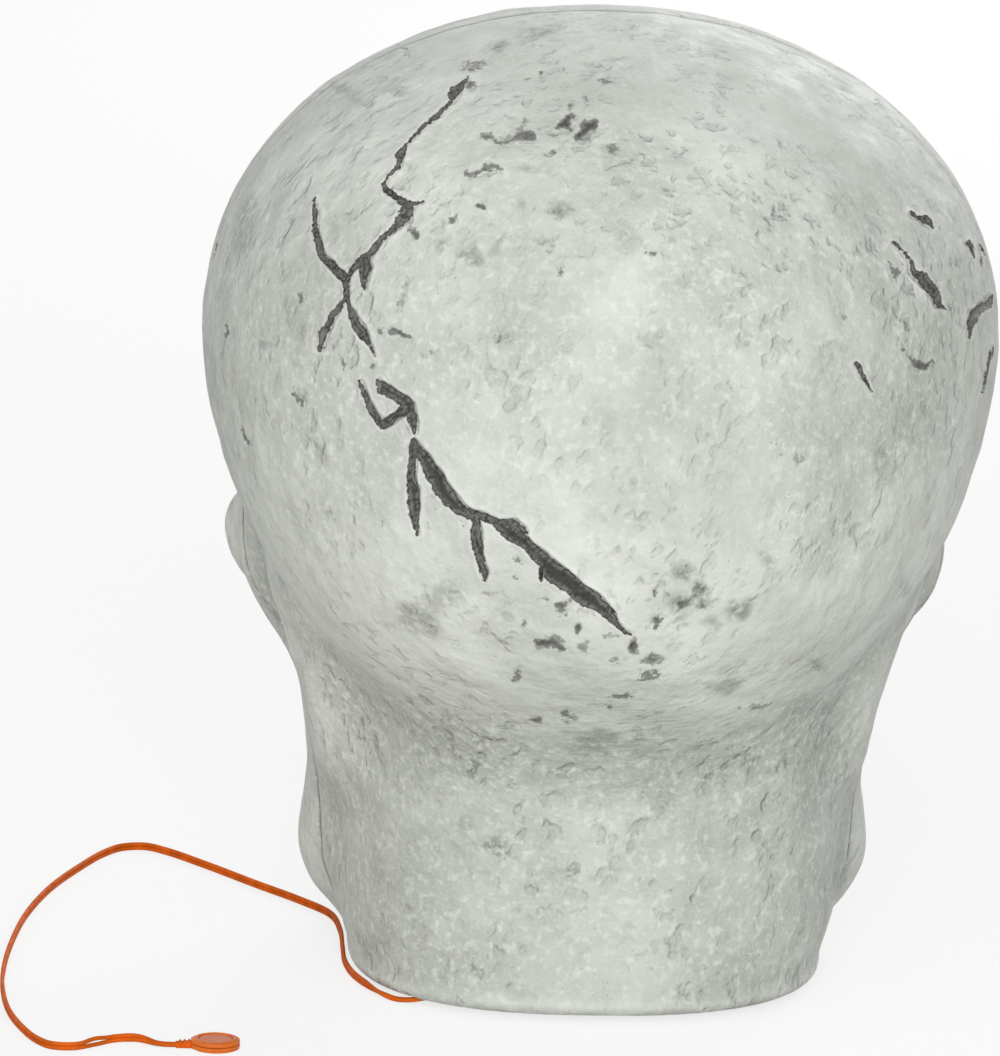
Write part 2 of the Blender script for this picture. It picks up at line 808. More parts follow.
def closed_faces(rows: int, count: int, offset: int = 0) -> list[list[int]]:
    """The quads between closed rings, with a flat face on each end.

    Args:
        rows: How many rings there are.
        count: How many points each ring has.
        offset: The first ring's first point.

    Returns:
        The faces.
    """
    last = (rows - 1) * count
    ends = [list(range(count))[::-1], list(range(last, last + count))]
    return [[offset + i for i in face] for face in (*ring_faces(rows, count), *ends)]


def loft(name: str, rings: Sequence[Array], sharp_deg: float = 35) -> Piece:
    """A closed skin over rings, with a flat face on each end."""
    faces = closed_faces(len(rings), len(rings[0]))
    return mesh_piece(name, np.concatenate(rings), faces, sharp_deg)


def circle(radius: float, height: float, sides: int, start: float = 0) -> Array:
    """A level ring of points about the Z axis, the first one some steps round it."""
    turn = (np.arange(sides) + start) / sides * 2 * math.pi
    return np.stack([radius * np.cos(turn), radius * np.sin(turn), np.full(sides, height)], 1)


def place_piece(piece: Piece, matrix: Matrix) -> Piece:
    """Moves a piece's mesh, so that its object stays at the origin."""
    piece.data.transform(matrix)
    return piece


def cut(piece: Piece, tool: Piece, operation: str = "DIFFERENCE") -> None:
    """Applies a boolean and removes its tool.

    Args:
        piece: The piece that is changed.
        tool: The closed mesh that cuts or joins.
        operation: DIFFERENCE, UNION or INTERSECT.
    """
    step = piece.modifiers.new("cut", "BOOLEAN")
    step.operation = operation
    step.solver = "MANIFOLD"
    step.object = tool
    bpy.context.view_layer.update()
    done = bpy.data.meshes.new_from_object(
        piece.evaluated_get(bpy.context.evaluated_depsgraph_get()))
    piece.modifiers.clear()
    old = piece.data
    piece.data = done
    done.name = piece.name
    bpy.data.meshes.remove(old)
    bpy.data.objects.remove(tool)


def box_tool(low: Point, high: Point) -> Piece:
    """A plain block that only serves to cut."""
    rings = [np.array([[low[0], low[1], z], [high[0], low[1], z], [high[0], high[1], z],
                       [low[0], high[1], z]]) for z in (low[2], high[2])]
    return loft("tool", rings)


def plate_tool(half_x: float, half_y: float, corner: float, low: float, high: float) -> Piece:
    """A plate with round corners that only serves to cut.

    Args:
        half_x: Half its width.
        half_y: Half its depth.
        corner: The corners' radius.
        low: Its lowest height.
        high: Its highest height.

    Returns:
        The tool.
    """
    ring = circle(1, 0, TOOL_SIDES, 0.5)[:, :2]
    outline = ring * corner + np.sign(ring) * (half_x - corner, half_y - corner)
    return loft("tool", [np.c_[outline, np.full(TOOL_SIDES, z)] for z in (low, high)])


def post_tool(x: float, y: float, radius: float, low: float, high: float) -> Piece:
    """A round upright post, to cut or join with."""
    return loft("tool", [circle(radius, z, POST_SIDES) + (x, y, 0) for z in (low, high)])


def level_tool(x: float, z: float, radius: float, low: float, high: float) -> Piece:
    """A round post along the Y axis, from low to high, to cut or join with."""
    rings = [circle(radius, y, TOOL_SIDES)[:, [0, 2, 1]] + (x, 0, z) for y in (high, low)]
    return loft("tool", rings)


def solid_box(node: str) -> tuple[Vector, Vector, Vector]:
    """The lowest corner, the highest corner and the middle of a solid, in millimetres."""
    low, high = (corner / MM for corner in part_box(node))
    return low, high, (low + high) / 2


def stand_in(piece: Piece, node: str, finish: Finish, body: str = "skull") -> Piece:
    """Puts a piece on its body, in the place of a solid, and gives it its finish.

    Args:
        piece: The new piece.
        node: The solid that it replaces.
        finish: Its finish.
        body: The body that it rides on.

    Returns:
        The same piece.
    """
    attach(piece, body)
    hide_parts(node)
    finish.dress(piece)
    return piece


@dataclass(frozen=True)
class Lump:
    """An ellipsoid of the form, in shares of the half width, half depth and height."""

    centre: Point
    radii: Point
    blend: float


@dataclass(frozen=True)
class Bar:
    """A tapered round bar of the form; its radii are shares of the half width."""

    start: Point
    end: Point
    radii: Pair
    stretch: Point
    blend: float


@dataclass(frozen=True)
class ToothRow:
    """One row of teeth, as shares of the skull's sizes."""

    height: float
    half: float
    arch: Pair
    widths: tuple[float, ...]


@dataclass(frozen=True)
class SkullForm:
    """The skull's outer form, from the same sizes and shares as its solids."""

    half_width: float = 206
    half_depth: float = 214
    top: float = 505
    behind_seam: float = 13.6
    foot_gap: float = 3
    rounding: float = 7
    brain_centre: float = 0.671
    brain_front: float = 1.08
    brain_drop: float = 0.35
    brain_power: float = 2.11
    neck_foot: Pair = (0.595, 0.6)
    neck_waist: Pair = (0.64, 0.58)
    neck_rise: float = 0.09
    neck_top: float = 0.44
    neck_power: float = 2.45
    neck_distance: float = 0.8
    neck_blend: float = 0.18
    orbit_turn: float = 0.22
    orbit_power: float = 2.5
    orbit_blend: float = 0.04
    seat_y: float = -137.47
    seat_radius: float = 21.4
    seat_blend: float = 1.5
    nose_back: float = -0.94
    nose_blend: float = 0.02
    nose_corner: float = 8
    tooth_room: float = 0.3
    tooth_far: float = 50
    tooth_blend: float = 2
    gum_blend: float = 2.5
    flattest: float = 0.2
    tooth_depth: float = 0.044
    tooth_power: float = 2.7
    last_tooth_turn: float = 1.45
    arch_pitch: float = 1.08
    lumps: tuple[Lump, ...] = (
        Lump((0, 0.29, 0.525), (0.77, 0.69, 0.235), 0.24),
        Lump((0, -0.63, 0.376), (0.5, 0.44, 0.2), 0.15),
        Lump((0.22, -0.7, 0.693), (0.39, 0.37, 0.158), 0.19),
        Lump((0.573, -0.8, 0.412), (0.214, 0.187, 0.063), 0.107),
        Lump((0.67, -0.29, 0.375), (0.16, 0.243, 0.075), 0.078),
    )
    jaw_block: Lump = Lump((0, -0.738, 0.194), (0.32, 0.346, 0.127), 0.087)
    jaw_distance: float = 0.3
    jaw_power: float = 2.8
    bars: tuple[Bar, ...] = (
        Bar((0.64, 0.056, 0.406), (0.573, 0.047, 0.257), (0.155, 0.117), (1, 1, 1), 0.136),
        Bar((0.068, -1.037, 0.578), (0.379, -1.009, 0.606), (0.097, 0.087), (1, 1, 1), 0.087),
        Bar((0.379, -1.009, 0.606), (0.66, -0.841, 0.562), (0.087, 0.078), (1, 1, 1), 0.087),
        Bar((0.66, -0.841, 0.562), (0.689, -0.804, 0.471), (0.078, 0.083), (1, 1, 1), 0.068),
        Bar((0.689, -0.729, 0.418), (0.816, -0.5, 0.427), (0.107, 0.09), (1, 1, 1.4), 0.087),
        Bar((0.816, -0.5, 0.427), (0.81, -0.093, 0.437), (0.09, 0.083), (1, 1, 1.75), 0.087),
        Bar((0.65, -0.159, 0.35), (0.6, -0.206, 0.123), (0.087, 0.097), (1, 1.9, 1), 0.078),
        Bar((0.6, -0.224, 0.112), (0.485, -0.56, 0.097), (0.112, 0.1), (1, 1, 1.35), 0.097),
        Bar((0.485, -0.56, 0.097), (0.291, -0.85, 0.087), (0.1, 0.1), (1, 1, 1.35), 0.097),
        Bar((0.291, -0.85, 0.087), (0, -0.963, 0.079), (0.1, 0.112), (1, 1, 1.3), 0.097),
        Bar((0, -1.009, 0.055), (0.126, -0.99, 0.051), (0.092, 0.083), (1, 1, 1), 0.078),
    )
    hollows: tuple[Lump, ...] = (
        Lump((0.951, -0.654, 0.558), (0.223, 0.346, 0.099), 0.126),
        Lump((0.612, -0.869, 0.277), (0.223, 0.346, 0.067), 0.126),
        Lump((0.34, -1.121, 0.352), (0.087, 0.084, 0.051), 0.087),
        Lump((0, -1.15, 0.123), (0.291, 0.084, 0.024), 0.078),
    )
    bridge: Bar = Bar((0, -0.99, 0.547), (0, -1.112, 0.436), (0.068, 0.053), (1.05, 1, 1),
                      0.068)
    orbit: Lump = Lump((0.359, -1.103, 0.491), (0.238, 0.411, 0.085), 0)
    nose: tuple[Pair, ...] = (
        (0, 0.432), (0.033, 0.42), (0.07, 0.37), (0.107, 0.325), (0.083, 0.303),
        (0.03, 0.312), (0, 0.325))
    upper_teeth: ToothRow = ToothRow(0.234, 0.042, (0.325, 0.355),
                                     (0.092, 0.078, 0.083, 0.078, 0.078, 0.087, 0.087))
    lower_teeth: ToothRow = ToothRow(0.158, 0.038, (0.311, 0.341),
                                     (0.068, 0.073, 0.078, 0.078, 0.078, 0.087, 0.087))

    def place(self, shares: Point) -> Point:
        """A place from its shares of the skull's sizes."""
        return (shares[0] * self.half_width, shares[1] * self.half_depth + self.behind_seam,
                shares[2] * self.top)

    def radii(self, shares: Point) -> Point:
        """Radii along the axes from their shares of the skull's sizes."""
        return shares[0] * self.half_width, shares[1] * self.half_depth, shares[2] * self.top

    def lump_gap(self, p: Sequence[Array], lump: Lump) -> Array:
        """The distance to an ellipsoid, about.

        Args:
            p: The places along each axis.
            lump: The ellipsoid.

        Returns:
            The distance, below zero inside.
        """
        radii = self.radii(lump.radii)
        shares = [(a - c) / r for a, c, r in zip(p, self.place(lump.centre), radii)]
        reach = np.sqrt(sum(s * s for s in shares))
        steep = np.sqrt(sum((s / r) ** 2 for s, r in zip(shares, radii)))
        return reach * (reach - 1) / np.maximum(steep, TINY)

    def bar_gap(self, p: Sequence[Array], bar: Bar) -> Array:
        """The distance to a tapered bar, about.

        Args:
            p: The places along each axis.
            bar: The bar.

        Returns:
            The distance, below zero inside.
        """
        start, end = self.place(bar.start), self.place(bar.end)
        along = [(b - a) / s for a, b, s in zip(start, end, bar.stretch)]
        offset = [(q - a) / s for q, a, s in zip(p, start, bar.stretch)]
        length = sum(a * a for a in along)
        share = np.clip(sum(a * o for a, o in zip(along, offset)) / length, 0, 1)
        distance = np.sqrt(sum((o - a * share) ** 2 for a, o in zip(along, offset)))
        radius = (bar.radii[0] + (bar.radii[1] - bar.radii[0]) * share) * self.half_width
        return (distance - radius) * min(bar.stretch)

    def brain_gap(self, p: Sequence[Array]) -> Array:
        """The distance to the brain case, about."""
        x, y, z = p
        centre = self.brain_centre * self.top
        rise = self.top - centre
        depth = np.where(y > self.behind_seam, self.half_depth,
                         self.brain_front * self.half_depth)
        drop = np.where(z > centre, rise, self.brain_drop * self.top)
        shares = (x / self.half_width, (y - self.behind_seam) / depth, (z - centre) / drop)
        return (power_norm(shares, self.brain_power) - 1) * rise

    def neck_gap(self, p: Sequence[Array]) -> Array:
        """The distance to the round column that the skull stands on, about."""
        x, y, z = p
        rise = smooth_step(0, self.neck_rise * self.top, z)
        foot, waist = self.neck_foot, self.neck_waist
        width = self.half_width * (foot[0] + (waist[0] - foot[0]) * rise)
        depth = self.half_depth * (foot[1] + (waist[1] - foot[1]) * rise)
        side = (power_norm((x / width, y / depth), self.neck_power) - 1) * depth
        return np.maximum(side * self.neck_distance, z - self.neck_top * self.top)

    def jaw_gap(self, p: Sequence[Array]) -> Array:
        """The distance to the block that carries the teeth, about."""
        centre, radii = self.place(self.jaw_block.centre), self.radii(self.jaw_block.radii)
        shares = [(a - c) / r for a, c, r in zip(p, centre, radii)]
        return (power_norm(shares, self.jaw_power) - 1) * self.jaw_distance * self.half_width

    def orbit_gap(self, p: Sequence[Array]) -> Array:
        """The distance to an eye socket's space, with the seat of its lens."""
        x, y, z = p
        cx, cy, cz = self.place(self.orbit.centre)
        rx, ry, rz = self.radii(self.orbit.radii)
        c, s = math.cos(self.orbit_turn), math.sin(self.orbit_turn)
        u, w = (x - cx) * c + (z - cz) * s, (z - cz) * c - (x - cx) * s
        socket = (power_norm((u / rx, (y - cy) / ry, w / rz), self.orbit_power) - 1) * rx
        seat = np.maximum(np.hypot(x - cx, z - cz) - self.seat_radius, y - self.seat_y)
        return soft_min(socket, seat, self.seat_blend)

    def nose_gap(self, p: Sequence[Array]) -> Array:
        """The distance to the nose's opening."""
        x, y, z = p
        outline = [(a * self.half_width, b * self.top) for a, b in self.nose]
        best = np.full(x.shape, np.inf)
        inside = np.zeros(x.shape, bool)
        for (ax, az), (bx, bz) in zip(outline, outline[1:]):
            dx, dz = bx - ax, bz - az
            share = np.clip(((x - ax) * dx + (z - az) * dz) / (dx * dx + dz * dz), 0, 1)
            best = np.minimum(best, np.hypot(x - ax - dx * share, z - az - dz * share))
            crosses = (az > z) != (bz > z)
            side = ax + (z - az) * dx / (dz if dz else 1)
            inside ^= crosses & (x < side)
        flat = np.where(inside, -best, best)
        back = y - (self.nose_back * self.half_depth + self.behind_seam)
        return soft_max(flat, back, self.nose_corner)

    def teeth_gap(self, p: Sequence[Array]) -> Array:
        """The distance to the nearest tooth."""
        x, y, z = p
        best = np.full(x.shape, self.tooth_far, x.dtype)
        arch_y = self.place(self.jaw_block.centre)[1]
        near = (z < self.tooth_room * self.top) & (y < arch_y)
        if not near.any():
            return best
        x, y, z = x[near], y[near], z[near]
        found = best[near]
        for row in (self.upper_teeth, self.lower_teeth):
            wide, deep = row.arch[0] * self.half_width, row.arch[1] * self.half_depth
            passed = 0.0
            for share in row.widths:
                width = share * self.half_width
                turn = min((passed + width / 2) / (wide * self.arch_pitch), self.last_tooth_turn)
                passed += width
                c, s = math.cos(turn), math.sin(turn)
                dx, dy = x - wide * s, y - (arch_y - deep * c)
                shares = ((dx * c + dy * s) / (width / 2),
                          (dx * s - dy * c) / (self.tooth_depth * self.half_width),
                          (z - row.height * self.top) / (row.half * self.top))
                gap = (power_norm(shares, self.tooth_power) - 1) * width / 2
                found = soft_min(found, gap, self.tooth_blend)
        best[near] = found
        return best

    def gap(self, x: Array, y: Array, z: Array) -> Array:
        """How far a place lies outside the skull.

        Args:
            x: Places across, in millimetres.
            y: Places along the depth.
            z: Heights.

        Returns:
            The distance, about, and below zero inside the skull.
        """
        p = (np.abs(x), y, z)
        gap = self.brain_gap(p)
        for lump in self.lumps:
            gap = soft_min(gap, self.lump_gap(p, lump), lump.blend * self.half_width)
        gap = soft_min(gap, self.neck_gap(p), self.neck_blend * self.half_width)
        gap = soft_min(gap, self.jaw_gap(p), self.jaw_block.blend * self.half_width)
        for bar in self.bars:
            gap = soft_min(gap, self.bar_gap(p, bar), bar.blend * self.half_width)
        for hollow in self.hollows:
            gap = soft_max(gap, -self.lump_gap(p, hollow), hollow.blend * self.half_width)
        gap = soft_min(gap, self.bar_gap(p, self.bridge), self.bridge.blend * self.half_width)
        gap = soft_max(gap, -self.orbit_gap(p), self.orbit_blend * self.half_width)
        gap = soft_max(gap, -self.nose_gap(p), self.nose_blend * self.half_width)
        gap = soft_min(gap, self.teeth_gap(p), self.gum_blend)
        return soft_max(gap, self.foot_gap - z, self.rounding)

    def slope(self, points: Array, step: float = 0.3) -> tuple[Array, Array]:
        """The gap and its slope at places.

        Args:
            points: Places in millimetres.
            step: How far apart the slope is measured.

        Returns:
            The gaps, and the slopes as one vector a row.
        """
        gap = self.gap(*points.T)
        moved = [self.gap(*(points + np.eye(3)[i] * step).T) for i in range(3)]
        return gap, np.stack([(m - gap) / step for m in moved], axis=1)

    def settle(self, points: Array, rounds: int = 2, limit: float = 1.2) -> Array:
        """Moves places onto the form.

        Args:
            points: Places near the form, in millimetres.
            rounds: How many steps are taken.
            limit: The longest move of one step.

        Returns:
            The moved places.
        """
        for _ in range(rounds):
            gap, slope = self.slope(points)
            steep = np.maximum(np.sum(slope * slope, axis=1), self.flattest)
            move = np.clip(gap / steep, -limit, limit)
            points = points - slope * move[:, None]
        return points

    def normals(self, points: Array) -> Array:
        """The outward directions at places on the form."""
        _, slope = self.slope(points)
        return slope / np.maximum(np.linalg.norm(slope, axis=1), TINY)[:, None]


@dataclass
class SurfaceNet:
    """Turns a field of gaps into a closed mesh of quads."""

    form: SkullForm
    step: float
    block: int = 4
    band: float = 14
    mends: int = 6
    fill: float = 0.2
    low: Point = (0, -240, -4)
    high: Point = (216, 244, 516)
    values: Array = field(default_factory=lambda: np.zeros(0), repr=False)

    def sample(self) -> None:
        """Reads the gaps of the half with x above zero near the form, and mirrors them."""
        wide = self.step * self.block
        counts = [int(math.ceil((h - l) / wide)) for l, h in zip(self.low, self.high)]
        axes = [l + np.arange(n + 1) * wide for l, n in zip(self.low, counts)]
        grid = np.meshgrid(*axes, indexing="ij")
        coarse = self.form.gap(*[g.ravel() for g in grid]).reshape(grid[0].shape)
        nearest = np.full(counts, np.inf)
        for corner in np.ndindex(2, 2, 2):
            part = coarse[tuple(slice(c, c + n) for c, n in zip(corner, counts))]
            nearest = np.minimum(nearest, np.abs(part))
        values = coarse[:-1, :-1, :-1]
        near = nearest < self.band
        for axis in range(3):
            values = np.repeat(values, self.block, axis)
            near = np.repeat(near, self.block, axis)
        index = np.nonzero(near)
        places = [l + i * self.step for l, i in zip(self.low, index)]
        values = values.astype(float)
        values[index] = self.form.gap(*places)
        self.values = np.concatenate([values[:0:-1], values])

    def mesh(self, shift: float = 0, stride: int = 1, floor: float | None = None
             ) -> tuple[Array, Array]:
        """Builds the mesh where the gap plus a shift is zero.

        Args:
            shift: How far inside the form the mesh lies.
            stride: How many steps of the grid one cell of the mesh takes.
            floor: The lowest height of the space, if it is cut off there.

        Returns:
            The points in millimetres, and the quads.
        """
        half = len(self.values) // 2
        first = half % stride
        values = self.values[first::stride, ::stride, ::stride] + shift
        step = self.step * stride
        origin = np.array([(first - half) * self.step, self.low[1], self.low[2]])
        if floor is not None:
            heights = origin[2] + np.arange(values.shape[2]) * step
            values = np.maximum(values, (floor - heights)[None, None, :])
        for _ in range(self.mends):
            points, quads, cells = self.wrap(values, origin, step)
            sides = np.concatenate([np.sort(quads[:, [i, (i + 1) % 4]], 1) for i in range(4)])
            pairs, count = np.unique(sides, axis=0, return_counts=True)
            faulty = cells[np.unique(pairs[count != 2])]
            if not len(faulty):
                break
            for corner in np.ndindex(2, 2, 2):
                key = tuple((faulty + corner).T)
                values[key] = np.minimum(values[key], -self.fill * step)
        return points, quads

    def wrap(self, values: Array, origin: Array, step: float) -> tuple[Array, Array, Array]:
        """Puts one point into each cell that the surface crosses, and joins them.

        Args:
            values: The gaps on the grid.
            origin: The grid's first corner.
            step: The grid's step.

        Returns:
            The points, the quads and the cell of each point.
        """
        inside = values < 0
        cells = [n - 1 for n in values.shape]
        count = np.zeros(cells, np.uint8)
        corners = list(np.ndindex(2, 2, 2))
        for corner in corners:
            count += inside[tuple(slice(c, c + n) for c, n in zip(corner, cells))]
        active = np.argwhere((count > 0) & (count < 8))
        number = np.full(cells, -1, np.int64)
        number[tuple(active.T)] = np.arange(len(active))
        total = np.zeros((len(active), 3))
        crossings = np.zeros(len(active))
        for a in corners:
            for axis in range(3):
                if a[axis]:
                    continue
                b = tuple(c + (i == axis) for i, c in enumerate(a))
                va = values[tuple((active + a).T)]
                vb = values[tuple((active + b).T)]
                crosses = (va < 0) != (vb < 0)
                share = np.where(crosses, va / np.where(crosses, va - vb, 1), 0)
                place = np.array(a, float)[None, :] + np.eye(3)[axis][None, :] * share[:, None]
                total += place * crosses[:, None]
                crossings += crosses
        points = origin + (active + total / crossings[:, None]) * step
        return points, self.quads(inside, number), active

    def quads(self, inside: Array, number: Array) -> Array:
        """The quads round each edge of the grid that the surface crosses.

        Args:
            inside: Which grid points lie inside.
            number: The number of each cell's point.

        Returns:
            The quads, facing outwards.
        """
        found = []
        for axis in range(3):
            low = [slice(None)] * 3
            high = [slice(None)] * 3
            low[axis], high[axis] = slice(0, -1), slice(1, None)
            a, b = inside[tuple(low)], inside[tuple(high)]
            edges = np.argwhere(a != b)
            u, v = np.eye(3, dtype=int)[(axis + 1) % 3], np.eye(3, dtype=int)[(axis + 2) % 3]
            around = [number[tuple((edges - d).T)] for d in (u + v, v, 0 * u, u)]
            quad = np.stack(around, axis=1)
            outward = a[tuple(edges.T)]
            quad[~outward] = quad[~outward][:, ::-1]
            found.append(quad)
        return np.concatenate(found)


@dataclass(frozen=True)
class Surface:
    """Places on the shell in millimetres, their outward directions and the photo's camera."""

    points: Array
    normals: Array
    camera: PhotoCamera


class View(Enum):
    """The picture that a mark is drawn on: its right, its up, where it looks and its scale."""

    PHOTO = ((1, 0, 0), (0, 0, 1), (0, -1, 0), 1.943)
    FRONT = ((1, 0, 0), (0, 0, 1), (0, -1, 0), 1)
    LEFT = ((0, 1, 0), (0, 0, 1), (1, 0, 0), 1)
    RIGHT = ((0, 1, 0), (0, 0, 1), (-1, 0, 0), 1)

    def flatten(self, surface: Surface) -> tuple[Array, Array]:
        """Where the places of a surface lie in this view, and how much they face it.

        Args:
            surface: The places.

        Returns:
            Flat coordinates, and the share of each normal towards the viewer.
        """
        right, up, towards, _ = self.value
        if self is View.PHOTO:
            return surface.camera.pixels(surface.points), surface.normals @ surface.camera.axes()[2]
        flat = np.stack([surface.points @ np.array(way, float) for way in (right, up)], axis=1)
        return flat, surface.normals @ np.array(towards, float)

    @property
    def scale(self) -> float:
        """How many of its units make a millimetre."""
        return self.value[3]


@dataclass(frozen=True)
class Stroke:
    """A crack along a line: each point holds its place and the crack's full width."""

    points: tuple[Point, ...]
    view: View = View.PHOTO

    def limits(self) -> tuple[Array, Array]:
        """The lowest and highest corner of the stroke in its view."""
        points = np.array(self.points)
        wide = points[:, 2].max() / 2
        return points[:, :2].min(axis=0) - wide, points[:, :2].max(axis=0) + wide

    def reach(self, flat: Array) -> Array:
        """How far inside the stroke flat places lie, in millimetres.

        Args:
            flat: Places in the stroke's view.

        Returns:
            Half the width less the distance, above zero inside.
        """
        best = np.full(len(flat), -np.inf)
        for (ax, ay, aw), (bx, by, bw) in zip(self.points, self.points[1:]):
            way = np.array([bx - ax, by - ay], float)
            offset = flat - (ax, ay)
            share = np.clip(offset @ way / max(way @ way, TINY), 0, 1)
            distance = np.linalg.norm(offset - share[:, None] * way, axis=1)
            best = np.maximum(best, (aw + (bw - aw) * share) / 2 - distance)
        return best / self.view.scale


@dataclass(frozen=True)
class Spot:
    """A pit, smudge or speckled patch with an oval outline."""

    x: float
    y: float
    width: float
    height: float
    strength: float = 1
    turn_deg: float = 0
    view: View = View.PHOTO

    def limits(self) -> tuple[Array, Array]:
        """The lowest and highest corner of the spot in its view."""
        half = max(self.width, self.height) / 2
        centre = np.array([self.x, self.y])
        return centre - half, centre + half

    def reach(self, flat: Array) -> Array:
        """How far inside the spot flat places lie, in millimetres, about.

        Args:
            flat: Places in the spot's view.

        Returns:
            The distance to its outline, above zero inside.
        """
        turn = math.radians(self.turn_deg)
        offset = flat - (self.x, self.y)
        along = offset[:, 0] * math.cos(turn) - offset[:, 1] * math.sin(turn)
        across = offset[:, 0] * math.sin(turn) + offset[:, 1] * math.cos(turn)
        share = np.hypot(along / (self.width / 2), across / (self.height / 2))
        return (1 - share) * min(self.width, self.height) / 2 / self.view.scale


def strokes(view: View, *lines: tuple[Point, ...]) -> tuple[Stroke, ...]:
    """Strokes on one view, each from its points."""
    return tuple(Stroke(line, view) for line in lines)


def spots(view: View, *rows: tuple[float, ...]) -> tuple[Spot, ...]:
    """Spots on one view, each from its place, width, height, strength and turn."""
    return tuple(Spot(*row, view=view) for row in rows)


